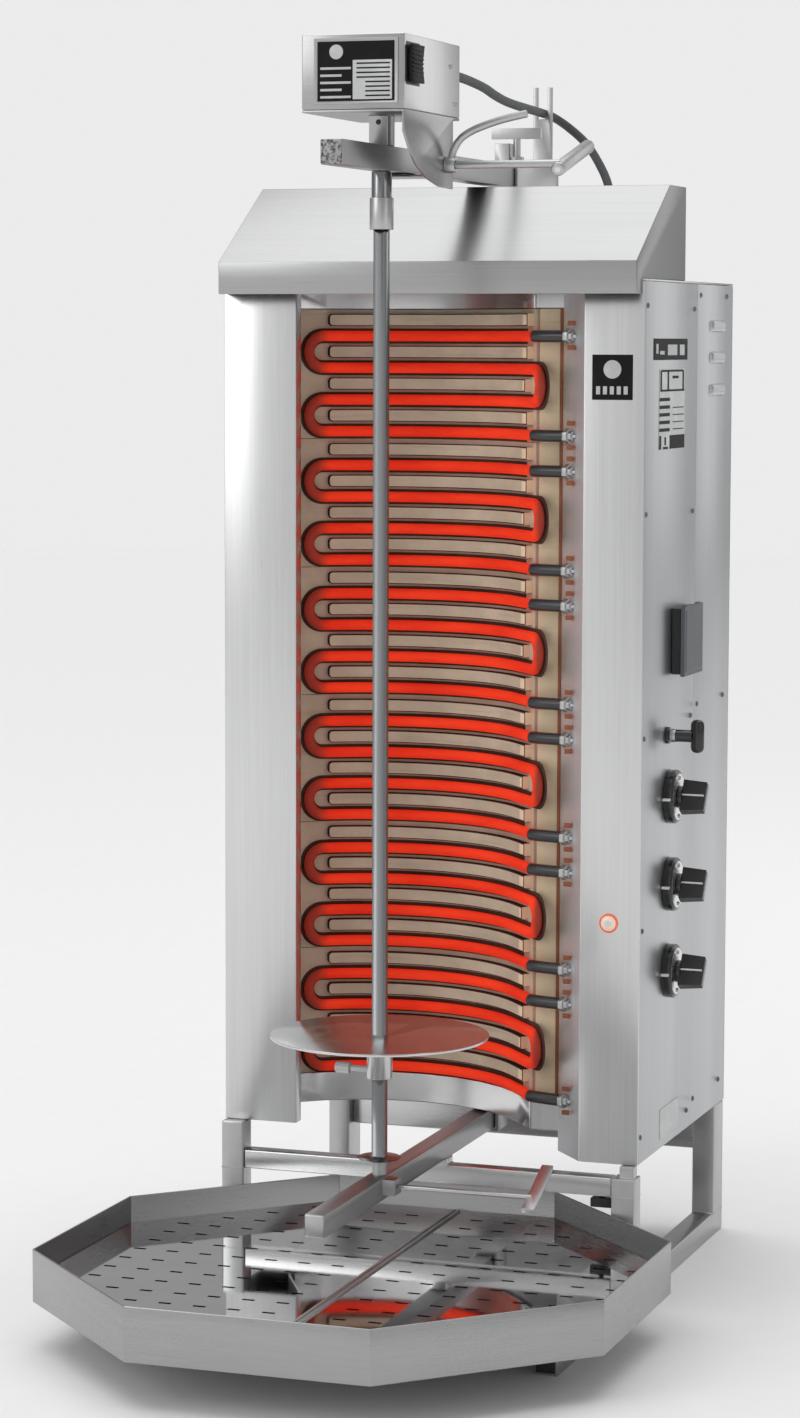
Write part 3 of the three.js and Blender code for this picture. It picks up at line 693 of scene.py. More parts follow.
def makeHousing():
    for node, material in (("left_front_panel", steelUp), ("left_side_cover", steelSide),
                           ("control_side_cover", steelSide), ("rear_side_cover", steelSide),
                           ("top_cover", steelFlat)):
        finishPiece(fromNode(node, 0.7, 2), "housing", material, "brushed_steel")
    box = fromNode("control_box", 0.7, 2)
    twoSheets(box, steelUp, steelInner, lambda n: n.x < -0.2)   # the slanted inner wall is duller
    finishPiece(box, "housing", None, "brushed_steel")
    for node in ("rear_cover", "floor_plate"):
        finishPiece(fromNode(node, 0.6, 1), "housing", millSteel, "plain_steel")
    makeSideScrews()
    vents = [ventHood(z) for z in vent["heights"]]
    finishPiece(joined("vent_louvres", *vents), "housing", steelSide, "brushed_steel")
    makeRearDetails()


def makeSideScrews():
    half, radius = sheets["half"], sheets["screwRadius"]
    side = [(half, y, z) for y, z in sheets["sideScrews"]]
    screwSet("side_cover_screws", side, "x", "housing", radius, darkSteel)
    rearSide = [(half, y, z) for y in sheets["rearScrewY"] for z in sheets["rearScrewZ"]]
    screwSet("rear_side_screws", rearSide, "x", "housing", radius, darkSteel)
    leftSide = [(-half, y, z) for y in sheets["leftScrewY"] for z in sheets["leftScrewZ"]]
    left = screwSet("left_side_screws", leftSide, "x", "housing", radius)
    left.data.transform(Matrix.Scale(-1, 4, (1, 0, 0)))   # the heads are turned to face left
    left.data.transform(Matrix.Translation((-2 * half * mm, 0, 0)))
    faceOutwards(left)


rear = {"sheet": 364.8, "ribX": (-110, 0, 110), "ribLow": 930, "ribRows": 7, "ribPitch": 13, "ribWidth": 70,
        "ribHeight": 6.4, "ribCrest": 368.4, "screwFace": 366, "screwX": (-218, 0, 218),
        "screwZ": (1052, 800, 480, 162), "screwRadius": 3.2,
        "plateLow": (60, 365.8, 300), "plateHigh": (150, 366.7, 350)}


def makeRearDetails():                        # raised vent ribs, edge screws and the rating plate
    ribs = []
    for x in rear["ribX"]:
        for row in range(rear["ribRows"]):
            z = rear["ribLow"] + row * rear["ribPitch"]
            rib = slab("rib", (x - rear["ribWidth"] / 2, rear["sheet"], z - rear["ribHeight"] / 2),
                       (x + rear["ribWidth"] / 2, rear["ribCrest"], z + rear["ribHeight"] / 2), 0)
            pick(rib, lambda c, n: n.y > 0.9)
            centre = spot(x, rear["ribCrest"], z + 1.5)
            bpy.ops.transform.resize(value=(0.94, 1, 0.45), center_override=centre)
            done()
            ribs.append(soften(rib, 1.1, 2))
    finishPiece(joined("rear_vent_ribs", *ribs), "housing", millSteel, "plain_steel")
    spots = [(x, rear["screwFace"], z) for x in rear["screwX"] for z in rear["screwZ"]]
    screwSet("rear_cover_screws", spots, "y", "housing", rear["screwRadius"])
    plate = slab("rating_plate", rear["plateLow"], rear["plateHigh"], 0.4, 1)
    pick(plate, lambda c, n: n.y > 0.9)
    insetPicked(3)
    insetPicked(0.8, -0.25)
    done()
    finishPiece(plate, "housing", labelSilver, "plain_steel")


makeHousing()
print("housing made")


hoodScrews = {"x": (-200, 0, 200), "y": 170, "z": (1080, 1148), "radius": 3.2}


def makeHood():
    hood = fromNode("hood", 0.9, 3)
    twoSheets(hood, steelHood, steelWingPaintedShade, lambda n: abs(n.x) > 0.9)   # painted shade: the side wings take a darker copy of the hood's steel
    finishPiece(hood, "housing", None, "brushed_steel")
    spots = [(x, hoodScrews["y"], z) for x in hoodScrews["x"] for z in hoodScrews["z"]]
    screwSet("hood_screws", spots, "y", "housing", hoodScrews["radius"])


makeHood()
print("hood made")


# labels are plain plates with generic marks and no lettering: a mark is four shares of the plate's
# width and height, left, low, right and high
labels = {"front": {"low": (174.5, -0.7, 941), "high": (217.5, 0.2, 987)},
          "frontDisc": {"at": (196, -1.0, 972), "profile": [(9.4, 0), (9.2, 0.5), (6.2, 0.5), (5.8, 0.2),
                                                            (3.2, 0.2), (3.0, 0.6), (1, 0.6)]},
          "upper": {"low": (229.9, 33, 981.5), "high": (230.7, 168, 1003.5)},
          "upperMarks": [(0.06, 0.3, 0.12, 0.75), (0.17, 0.25, 0.3, 0.42), (0.4, 0.22, 0.68, 0.72),
                         (0.76, 0.22, 0.9, 0.72)],
          "lower": {"low": (229.9, 57, 889), "high": (230.6, 158, 972)},
          "lowerMarks": [(0.0, 0.0, 0.07, 0.17), (0.14, 0.0, 0.34, 0.03), (0.2, 0.05, 0.26, 0.15),
                         (0.4, 0.0, 1.0, 0.17), (0.02, 0.72, 0.98, 0.745), (0.06, 0.965, 0.92, 0.99),
                         (0.02, 0.73, 0.08, 0.98), (0.9, 0.73, 0.96, 0.98), (0.3, 0.73, 0.36, 0.98),
                         (0.5, 0.88, 0.74, 0.915)],
          "pale": {"low": (229.9, 87, 158), "high": (230.5, 160, 190)}}


def labelPlate(name, place, side, plateMaterial, body, marks=(), markMaterial=None):
    low, high = place["low"], place["high"]
    finishPiece(slab(name, low, high, 0.25, 1), body, plateMaterial, "black_plastic")
    bars = []
    across = 1 if side == "x" else 0
    w, h = high[across] - low[across], high[2] - low[2]
    for left, bottom, right, top in marks:
        a, b = low[across] + left * w, low[across] + right * w
        c, d = low[2] + bottom * h, low[2] + top * h
        if side == "x":
            bars.append(slab("mark", (high[0] - 0.1, a, c), (high[0] + 0.2, b, d), 0.06, 1))
        else:
            bars.append(slab("mark", (a, low[1] - 0.2, c), (b, low[1] + 0.1, d), 0.06, 1))
    if bars:
        finishPiece(joined(name + "_marks", *bars), body, markMaterial, "plain_steel")


def makeLabels():
    squares = [(0.1 + 0.17 * k, 0.12, 0.2 + 0.17 * k, 0.3) for k in range(5)]
    labelPlate("front_label", labels["front"], "y", labelBlack, "housing", squares, labelGrey)
    disc = turned("front_label_disc", labels["frontDisc"]["at"], "y", labels["frontDisc"]["profile"], 40)
    finishPiece(disc, "housing", labelGrey, "plain_steel")
    labelPlate("side_label_upper", labels["upper"], "x", labelBlack, "housing",
               labels["upperMarks"], labelGrey)
    stripes = [(0.0, 0.22 + 0.095 * k, 0.4, 0.262 + 0.095 * k) for k in range(5)]
    stripes += [(0.52, 0.24 + 0.09 * k, 0.96, 0.252 + 0.09 * k) for k in range(4)]
    stripes += labels["lowerMarks"]
    labelPlate("side_label_lower", labels["lower"], "x", labelSilver, "housing", stripes, labelBlack)
    labelPlate("side_plate_pale", labels["pale"], "x", labelSilver, "housing")


makeLabels()
print("labels made")


# heater wall: in plan an arc that runs out into a flat
wall = {"centre": (-64, -30), "radius": 178, "startDeg": -46, "endDeg": 52, "flat": 39, "thickness": 16,
        "bottom": 199, "panelHeight": 139.2, "panels": 6, "joint": 0.3, "slices": 28}
ridge = {"height": 13, "proud": 7, "first": 11.3, "start": 44, "end": 334, "corner": 4.2, "endBlock": 13,
         "shorterAtBend": 6, "blockAtBend": 6, "slices": 22}
scorch = {"half": 8.1, "proud": 0.5, "sink": 0.5, "slices": 24, "ringSlices": 10, "ringCut": 40}
element = {"radius": 5.6, "standOff": 7, "runs": 4, "leftBend": 38, "rightBend": 355, "exit": 317,
           "bendSteps": 16, "runSteps": 26, "sides": 4}
arcLength = math.radians(wall["endDeg"] - wall["startDeg"]) * wall["radius"]
wallLength = arcLength + wall["flat"]
runPitch = (wall["panelHeight"] - 2.4) / element["runs"]
wallTop = wall["bottom"] + wall["panels"] * wall["panelHeight"]
firstRun = wallTop - wall["joint"] - ridge["first"] - runPitch / 2
runHeights = [firstRun - k * runPitch for k in range(element["runs"])]   # of the top panel


def onWall(along, behind):                    # X and Y of a place on the wall's line
    angle = min(math.radians(wall["startDeg"]) + along / wall["radius"], math.radians(wall["endDeg"]))
    rest = max(along - arcLength, 0)
    r = wall["radius"] + behind
    return (wall["centre"][0] + r * math.sin(angle) + rest * math.cos(angle),
            wall["centre"][1] + r * math.cos(angle) - rest * math.sin(angle))


def curlOntoWall(piece):                      # X was the way along the wall and Y the way behind it
    for vertex in piece.data.vertices:
        x, y, z = vertex.co
        wx, wy = onWall(x / mm, (y - frontY) / mm)
        vertex.co = (wx * mm, frontY + wy * mm, z)
    faceOutwards(piece)
    soften(piece, 0)


def sliceAlong(piece, low, high, pieces):     # cuts across X so that the piece can follow the arc
    activate(piece)
    bpy.ops.object.mode_set(mode="EDIT")
    for k in range(1, pieces):
        bpy.ops.mesh.select_all(action="SELECT")
        bpy.ops.mesh.bisect(plane_co=spot(low + (high - low) * k / pieces, 0, 0), plane_no=(1, 0, 0))
    done()


def roundCorners(piece, width, test):         # bevels the edges that run front to back
    edit(piece, "EDGE")
    points = piece.data.vertices
    for e in piece.data.edges:
        a, b = points[e.vertices[0]].co, points[e.vertices[1]].co
        e.select = abs((b - a).normalized().y) > 0.95 and test((a + b) / 2)
    bpy.ops.object.mode_set(mode="EDIT")
    bpy.ops.mesh.bevel(offset=width * mm, segments=4, affect="EDGES")
    done()


def addClays(piece):                          # a face's number says which of the four it shows
    piece.data.materials.clear()
    for material in (clay, clayEdgeBurnAndShade, clayEnd, clayScorch):
        piece.data.materials.append(material)


def paintAll(piece, number):
    addClays(piece)
    for side in piece.data.polygons:
        side.material_index = number


def makeRidge(top, end, block):
    centre = top - ridge["first"]
    low, high = centre - ridge["height"] / 2, centre + ridge["height"] / 2
    bar = slab("ridge", (ridge["start"], -ridge["proud"], low), (end, 1, high), 0)
    roundCorners(bar, ridge["corner"], lambda p: p.x < (ridge["start"] + 5) * mm)
    pick(bar, lambda c, n: n.y < -0.9)
    insetPicked(0.9, 0.6)
    done()
    addClays(bar)
    for side in bar.data.polygons:            # the flat top and the end stay pale; the long edges are near black, burnt and with painted shade of the channel round the element
        flat = side.normal.y < -0.97 and side.area > 0.001
        side.material_index = 0 if flat else 2 if side.normal.x > 0.9 else 1
    sliceAlong(bar, ridge["start"], end, ridge["slices"])
    tip = slab("tip", (end - block, -ridge["proud"] - 1.0, low + 1.3), (end - 1, 0, high - 1.3), 0.7, 2)
    paintAll(tip, 2)
    return bar, tip


def scorchBand(z, end):                       # the straight part of the burnt track
    left, half = element["leftBend"], scorch["half"]
    band = slab("band", (left, -scorch["proud"], z - half), (end, scorch["sink"], z + half), 0)
    sliceAlong(band, left, end, scorch["slices"])
    return band


def scorchRing(z, at, side):                  # its half turn at a bend, to the left or to the right
    proud, reach = scorch["proud"], scorch["ringCut"]
    outer, inner = runPitch / 2 + scorch["half"], runPitch / 2 - scorch["half"]
    ring = turned("ring", (at, -proud, z), "y", [(outer, 0), (outer, proud + scorch["sink"])], 48)
    carve(ring, turned("bore", (at, -proud - 2, z), "y", [(inner, 0), (inner, proud + 4)], 48))
    cut = sorted((at, at - side * reach))
    carve(ring, slab("cut", (cut[0], -proud - 2, z - reach), (cut[1], 4, z + reach), 0))
    sliceAlong(ring, at - outer, at + outer, scorch["ringSlices"])
    return ring


def makeScorch():                             # the burnt track that the element leaves on a panel
    left, right, out = element["leftBend"], element["rightBend"], element["exit"]
    parts = [scorchBand(z, end) for z, end in zip(runHeights, (out, right, right, out))]
    for k, at, side in ((0, left, -1), (2, left, -1), (1, right, 1)):
        parts.append(scorchRing((runHeights[k] + runHeights[k + 1]) / 2, at, side))
    for part in parts:
        paintAll(part, 3)
    return parts


def makeCeramics():
    low, high = wallTop - wall["panelHeight"] + wall["joint"], wallTop - wall["joint"]
    plate = slab("panel", (0, 0, low), (wallLength, wall["thickness"], high), 0)
    sliceAlong(plate, 0, wallLength, wall["slices"])
    addClays(plate)
    parts = [plate]
    for k in range(element["runs"]):
        atBend = k == 2
        end = ridge["end"] - (ridge["shorterAtBend"] if atBend else 0)
        parts += makeRidge(high - k * runPitch, end, ridge["blockAtBend" if atBend else "endBlock"])
    panel = joined("ceramic_panel_1_fired", *parts, *makeScorch())
    curlOntoWall(panel)
    for k, part in enumerate(downTheWall(panel, "ceramic_panel_{}_fired"), 1):
        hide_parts(f"ceramic_panel_{k}")
        finishPiece(part, "housing", None, "ceramic")


def downTheWall(first, name):                 # one for each panel, from the top
    yield first
    for k in range(1, wall["panels"]):
        yield twin(first, name.format(k + 1), (0, 0, -k * wall["panelHeight"]))


def arcOf(at, side, height):                  # a half turn of the element between two runs
    turn = runPitch / 2
    made = []
    for k in range(1, element["bendSteps"]):
        angle = math.radians(-90 + 180 * k / element["bendSteps"])
        made.append((*onWall(at + side * turn * math.cos(angle), -element["standOff"]),
                     height - turn * (1 + math.sin(angle))))
    return made


def runOf(a, b, height):
    steps = element["runSteps"]
    return [(*onWall(a + (b - a) * k / steps, -element["standOff"]), height) for k in range(steps + 1)]


# X and Y of the hot lead and the sleeved cold lead, then the nut's place and way
terminal = {"hot": [(93, 47), (97, 39.5), (102, 33.5)],
            "cold": [(102, 33.5), (110, 29.6), (124, 25.4), (141, 21)],
            "sleeve": 6.4, "sleeveSides": 5, "nutFrom": (140, 21.3), "nutTo": (153, 17.2),
            "nut": [(8.2, 0), (8.2, 5.5), (5.6, 5.6), (5.6, 9.5), (3, 9.6), (3, 14)],
            "tagX": (143, 151), "tagY": (14.6, 17.4), "tagZ": (-14, 11), "tagHeight": 5}


def leadOut(height):                          # from the last of the wall to the terminal
    out, gap = element["exit"], -element["standOff"]
    onto = [(*onWall(out - 8, gap), height), (*onWall(out, gap), height)]
    return onto + [(x, y, height) for x, y in terminal["hot"]]


def makeElement():
    left, right, out = element["leftBend"], element["rightBend"], element["exit"]
    line = smoothLine(leadOut(runHeights[0])[::-1], 5)
    line += runOf(out - 10, left, runHeights[0])
    line += arcOf(left, -1, runHeights[0])
    line += runOf(left, right, runHeights[1])
    line += arcOf(right, 1, runHeights[1])
    line += runOf(right, left, runHeights[2])
    line += arcOf(left, -1, runHeights[2])
    line += runOf(left, out - 10, runHeights[3])
    line += smoothLine(leadOut(runHeights[3]), 5)
    return tube("heating_element_1_tube", line, element["radius"], element["sides"])


def makeTerminals():
    sleeves, nuts, tags = [], [], []
    a, b = terminal["nutFrom"], terminal["nutTo"]
    way = Vector((b[0] - a[0], b[1] - a[1], 0))
    for z in (runHeights[0], runHeights[3]):
        bend = smoothLine([(x, y, z) for x, y in terminal["cold"]], 6)
        sleeves.append(tube("sleeve", bend, terminal["sleeve"], terminal["sleeveSides"]))
        nut = turned("nut", (0, -frontY / mm, 0), "z", terminal["nut"], 6, 0.4, 2)
        nut.rotation_euler = way.to_track_quat("Z", "Y").to_euler()
        nut.location = spot(a[0], a[1], z)
        nuts.append(settle(nut, "nut"))
        for up in terminal["tagZ"]:           # mica washers' tabs by each nut
            low, high = zip(terminal["tagX"], terminal["tagY"], (z + up, z + up + terminal["tagHeight"]))
            tags.append(slab("tag", low, high, 0.8, 2))
    return (joined("terminal_sleeves_1", *sleeves), joined("terminal_nuts_1", *nuts),
            joined("mica_tags_1", *tags))


def makeHeater():
    makeCeramics()
    rod = makeElement()
    sleeves, nuts, tags = makeTerminals()
    for k, part in enumerate(downTheWall(rod, "heating_element_{}_tube"), 1):
        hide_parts(f"heating_element_{k}")
        finishPiece(part, "housing", hot, "hot_element")
    for first, name, material, slotName in ((sleeves, "terminal_sleeves_{}", sleeveSkin, "black_plastic"),
                                            (nuts, "terminal_nuts_{}", steelCast, "brushed_steel"),
                                            (tags, "mica_tags_{}", mica, "fibre_board")):
        for part in downTheWall(first, name):
            finishPiece(part, "housing", material, slotName)
    finishPiece(fromNode("bottom_reflector", 0.4, 1), "housing", brightSheet, "polished_steel")
    finishPiece(fromNode("top_reflector", 0.4, 1), "housing", brightSheet, "polished_steel")
    makeStrip()


strip = {"left": 105, "right": 127, "front": 44, "back": 50, "grooveHalf": 0.5, "grooveDeep": 0.8,
         "edgeX": (127.2, 130.6), "edgeY": (43, 47.5), "fillerX": (100, 130.6), "fillerY": (46.5, 48),
         "fillerTop": 1061, "fillerBottom": 168.6, "fillerGap": 0.6}


def makeStrip():                              # the board at the terminals, grooved at each panel's joint
    board = slab("edge_strip_board", (strip["left"], strip["front"], wall["bottom"]),
                 (strip["right"], strip["back"], wallTop), 0)
    for k in range(wall["panels"]):
        z, half = wallTop - k * wall["panelHeight"], strip["grooveHalf"]
        carve(board, slab("joint", (strip["left"] - 2, strip["front"] - 1, z - half),
                          (strip["right"] + 2, strip["front"] + strip["grooveDeep"], z + half), 0))
    soften(board, 0.6, 2)
    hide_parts("edge_strip")
    finishPiece(board, "housing", fibre, "fibre_board")
    low, high = zip(strip["edgeX"], strip["edgeY"], (wall["bottom"], wallTop))
    finishPiece(slab("edge_strip_edge", low, high, 0.5, 2), "housing", mica, "fibre_board")
    fillers = []
    for ends in ((wallTop + strip["fillerGap"], strip["fillerTop"]),
                 (strip["fillerBottom"], wall["bottom"] - strip["fillerGap"])):
        low, high = zip(strip["fillerX"], strip["fillerY"], ends)
        fillers.append(slab("filler", low, high, 0.3, 1))
    finishPiece(joined("corner_fillers", *fillers), "housing", steelUp, "brushed_steel")


makeHeater()
print("heater wall made")


# mast, arms and motor: plain slabs by their low and high corners
armEnds = {"capLow": (4.3, -342.4, 1166.3), "capHigh": (25.7, -339.6, 1189.7),
           "padLow": (6, -160, 1162.6), "padHigh": (24, -116, 1165.8),
           "lowerCapLow": (5.4, -386.4, 143.4), "lowerCapHigh": (24.6, -384.6, 164.6)}
motorFace = {"plateLow": (-31, -264.2, 1227), "plateHigh": (55, -262.8, 1290),
             "label": {"low": (-27.5, -264.6, 1230), "high": (51, -263.6, 1287)},
             "dot": (-8, -264.9, 1277), "dotProfile": [(7, 0), (7, 0.5), (6.4, 0.8)],
             "panelLow": (9, -265.2, 1231.5), "panelHigh": (49, -264.3, 1269),
             "lineLeft": 13, "lineStep": 9, "lineRight": 47, "lineTop": 1265, "linePitch": 4.4,
             "lineHeight": 1.4, "lineFront": -265.5, "lineBack": -265.1, "lines": 8,
             "screws": [(61, -122, 1272), (61, -108, 1236)], "screwRadius": 2.6,
             "pin": (15, -207.4, 1213), "pinProfile": [(2.6, 0), (2.6, 0.9), (1.6, 1.1)]}


def makeTop():
    finishPiece(fromNode("mast", 1.0, 2), "housing", steelCast, "brushed_steel")
    finishPiece(fromNode("arm_clamp_screw", 1.2, 3), "arm_clamp_screw", steelCast, "brushed_steel")
    finishPiece(fromNode("upper_arm", 1.4, 3), "motor_arm", steelDeep, "brushed_steel")
    cap = slab("upper_arm_end_cap", armEnds["capLow"], armEnds["capHigh"], 1.2, 3)
    finishPiece(cap, "motor_arm", cutSteel, "plain_steel")
    pad = slab("upper_arm_pad", armEnds["padLow"], armEnds["padHigh"], 1.2, 3)
    finishPiece(pad, "motor_arm", blackSatin, "black_plastic")
    box = fromNode("motor_box", 1.1, 3)
    twoSheets(box, steelUp, steelHood, lambda n: n.y < -0.9)   # the front frame is duller
    finishPiece(box, "motor_arm", None, "brushed_steel")
    finishPiece(fromNode("motor_bracket", 0.8, 2), "motor_arm", steelHood, "brushed_steel")
    finishPiece(fromNode("gear_motor", 1.5, 2), "motor_arm", darkSteel, "plain_steel")
    makeMotorFront()
    makeMotorSwitch()


def makeMotorFront():
    border = slab("motor_front_plate", motorFace["plateLow"], motorFace["plateHigh"], 0.3, 1)
    pick(border, lambda c, n: n.y < -0.9)
    insetPicked(1.4)
    insetPicked(0.9, -0.35)
    done()
    finishPiece(border, "motor_arm", steelDeep, "brushed_steel")
    bars = [(0.04, 0.05 + 0.12 * k, 0.44 - 0.12 * (k % 2), 0.09 + 0.12 * k) for k in range(5)]
    labelPlate("motor_label", motorFace["label"], "y", labelBlack, "motor_arm", bars, labelGrey)
    dot = turned("motor_label_dot", motorFace["dot"], "y", motorFace["dotProfile"], 32)
    finishPiece(dot, "motor_arm", labelGrey, "plain_steel")
    panel = slab("motor_label_panel", motorFace["panelLow"], motorFace["panelHigh"], 0.2, 1)
    finishPiece(panel, "motor_arm", labelSilver, "plain_steel")
    lines = []
    for k in range(motorFace["lines"]):       # the lower half is set in
        left = motorFace["lineLeft"] + motorFace["lineStep"] * (k > 3)
        z = motorFace["lineTop"] - motorFace["linePitch"] * k
        high = (motorFace["lineRight"], motorFace["lineBack"], z + motorFace["lineHeight"])
        lines.append(slab("line", (left, motorFace["lineFront"], z), high, 0.05, 1))
    finishPiece(joined("motor_label_lines", *lines), "motor_arm", labelBlack, "black_plastic")
    screwSet("motor_box_screws", motorFace["screws"], "x", "motor_arm", motorFace["screwRadius"])
    pin = turned("neck_pin", motorFace["pin"], "y", motorFace["pinProfile"], 20)
    finishPiece(pin, "motor_arm", blackSatin, "black_plastic")


rocker = {"ribs": 9, "ribPitch": 4.1, "ribLow": 1249.3, "ribHeight": 1.9, "ribRoot": 66.0, "ribCrest": 67.3,
          "dish": 0.02, "front": -254, "back": -223,
          "rimLow": (60.9, -258.5, 1245.5), "rimHigh": (61.35, -218.5, 1286.5)}


def makeMotorSwitch():                        # the rocker's face is dished, and so are its ribs
    parts = [fromNode("motor_switch", 0.5, 2, "motor_switch_rocker")]
    for k in range(rocker["ribs"]):
        out = rocker["dish"] * (k - rocker["ribs"] // 2) ** 2
        z = rocker["ribLow"] + rocker["ribPitch"] * k
        parts.append(slab("rib", (rocker["ribRoot"] + out, rocker["front"], z),
                          (rocker["ribCrest"] + out, rocker["back"], z + rocker["ribHeight"]), 0.5, 2))
    finishPiece(joined("motor_switch_rocker", *parts), "motor_switch", deepBlack, "black_plastic")
    rim = slab("motor_switch_rim", rocker["rimLow"], rocker["rimHigh"], 0.15, 1)
    finishPiece(rim, "motor_arm", blackSatin, "black_plastic")


makeTop()
print("motor and arms made")


# the thumb screw's head is knurled, and its length and height come from the frame
thumb = {"y": -197, "shank": 3.4, "edge": 4.6, "head": 6.0, "headFrom": 1.2, "headTo": 14.8, "headEnd": 16,
         "knurls": 18, "knurlRadius": 6.1, "knurlHalf": 0.4, "knurlEnd": 15}


def makeSpit():
    finishPiece(fromNode("drive_shaft", 0.4, 2), "spit", steelSpit, "brushed_steel")
    finishPiece(fromNode("coupling_sleeve", 0.4, 2), "coupling_sleeve", steelCast, "brushed_steel")
    finishPiece(fromNode("spit_bar", 2.3, 1), "spit", steelSpit, "brushed_steel")
    finishPiece(fromNode("lower_arm", 1.4, 3), "lower_arm", steelDeep, "brushed_steel")
    end = slab("lower_arm_end_cap", armEnds["lowerCapLow"], armEnds["lowerCapHigh"], 1.0, 3)
    finishPiece(end, "lower_arm", steelCast, "brushed_steel")
    finishPiece(fromNode("meat_disc", 0.7, 2), "meat_disc", mirrorDisc, "polished_steel")
    makeDiscScrew()


def makeDiscScrew():
    low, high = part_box("disc_screw")
    z, start, length = (low.z + high.z) / 2 / mm, low.x / mm, (high.x - low.x) / mm
    profile = [(thumb["edge"], 0), (thumb["head"], thumb["headFrom"]), (thumb["head"], thumb["headTo"]),
               (thumb["edge"], thumb["headEnd"]), (thumb["shank"], thumb["headEnd"] + 0.1),
               (thumb["shank"], length)]
    head = turned("disc_screw_head", (start, thumb["y"], z), "x", profile, 36)
    half = thumb["knurlHalf"]
    for k in range(thumb["knurls"]):
        angle = math.radians(360 / thumb["knurls"] * k)
        y = thumb["y"] + thumb["knurlRadius"] * math.cos(angle)
        up = z + thumb["knurlRadius"] * math.sin(angle)
        carve(head, slab("knurl", (start - 1, y - half, up - half),
                         (start + thumb["knurlEnd"], y + half, up + half), 0))
    soften(head, 0)
    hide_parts("disc_screw")
    finishPiece(head, "disc_screw", steelCast, "brushed_steel")


makeSpit()
print("spit made")


# handles at the arms
clamp = {"y": -137, "z": 1174, "start": 61.3, "gripX": 178, "rod": 4, "grip": 7, "gripFrom": (-4, -6),
         "gripTo": (104, 22), "dot": 3.0, "dotFrom": (-4.6, -6.16), "dotTo": (-3.4, -5.84)}


def slantRod(name, a, b, radius, endRound, sides=36):
    way = Vector(b) - Vector(a)
    rod = turned(name, (0, -frontY / mm, 0), "z", [(radius, 0), (radius, way.length)], sides, endRound, 3)
    rod.rotation_euler = way.to_track_quat("Z", "Y").to_euler()
    rod.location = spot(*a)
    return settle(rod, name)


def onGrip(*offsets):                         # places at the grip, counted back and up from the axis
    return [(clamp["gripX"], clamp["y"] + back, clamp["z"] + up) for back, up in offsets]


def makeHandles():
    y, z = clamp["y"], clamp["z"]
    rod = slantRod("clamp_handle_rod", (clamp["start"], y, z), (clamp["gripX"] + 2, y, z),
                   clamp["rod"], 0.5)
    grip = slantRod("clamp_handle_grip", *onGrip(clamp["gripFrom"], clamp["gripTo"]), clamp["grip"], 2.4)
    whole = joined("clamp_handle_bar", rod, grip)
    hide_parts("clamp_handle")
    finishPiece(whole, "clamp_handle", steelCast, "brushed_steel")
    dot = slantRod("clamp_handle_dot", *onGrip(clamp["dotFrom"], clamp["dotTo"]), clamp["dot"], 0.3)
    finishPiece(dot, "clamp_handle", whiteMark, "plain_steel")
    finishPiece(fromNode("release_lever", 0.5, 2), "release_lever", steelCast, "brushed_steel")
    finishPiece(fromNode("lower_clamp_handle", 0.8, 2), "lower_clamp_handle", steelCast, "brushed_steel")
    finishPiece(fromNode("tray_latch", 1.5, 3), "tray_latch", blackSatin, "black_plastic")


makeHandles()
print("handles made")


# controls stand on the right side's face, and a knob's depths are counted from its bezel's front
sideFace = 230.3
knob = {"y": 114.5, "heights": (521.6, 428.2, 335.3), "bezel": 28.5, "depth": 10, "tilt": 32, "bore": 4.6,
        "plate": 24.5, "plateBore": 12.4, "screwReach": 20.5, "screwRadius": 2.4,
        "tickFrom": 33, "tickTo": 28.2, "tickHalf": 1.3, "shaft": 4, "collar": 11.6,
        "gripFrom": 4, "gripTo": 29.5, "gripHalfWidth": 6, "gripHalfLength": 18,
        "lineFrom": 5, "lineTo": 28, "lineHalf": 0.9}


def makeBezel(index, z):
    y, depth, radius = knob["y"], knob["depth"], knob["bezel"]
    bezel = turned(f"knob_bezel_{index}_body", (sideFace, y, z), "x",
                   [(radius, 0), (radius, depth - 2.4), (radius - 2.2, depth), (5, depth)], 56, 0.5, 2)
    carve(bezel, turned("bore", (sideFace - 1, y, z), "x", [(knob["bore"], 0), (knob["bore"], 14)], 32))
    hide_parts(f"knob_bezel_{index}")
    finishPiece(bezel, "housing", blackGloss, "black_plastic")
    top = sideFace + depth
    plate = turned(f"knob_face_{index}", (top - 0.1, y, z), "x",
                   [(knob["plate"], 0), (knob["plate"], 0.35), (13, 0.4)], 56)
    carve(plate, turned("bore", (top - 1, y, z), "x", [(knob["plateBore"], 0), (knob["plateBore"], 3)], 40))
    finishPiece(plate, "housing", brightSheet, "plain_steel")
    ends = [(top + 0.3, y, z + knob["screwReach"]), (top + 0.3, y, z - knob["screwReach"])]
    screwSet(f"knob_face_screws_{index}", ends, "x", "housing", knob["screwRadius"])
    tick = slab(f"knob_tick_{index}", (sideFace + 0.5, y - knob["tickFrom"], z - knob["tickHalf"]),
                (top - 1.5, y - knob["tickTo"], z + knob["tickHalf"]), 0.4, 2)
    finishPiece(tick, "housing", whiteMark, "plain_steel")


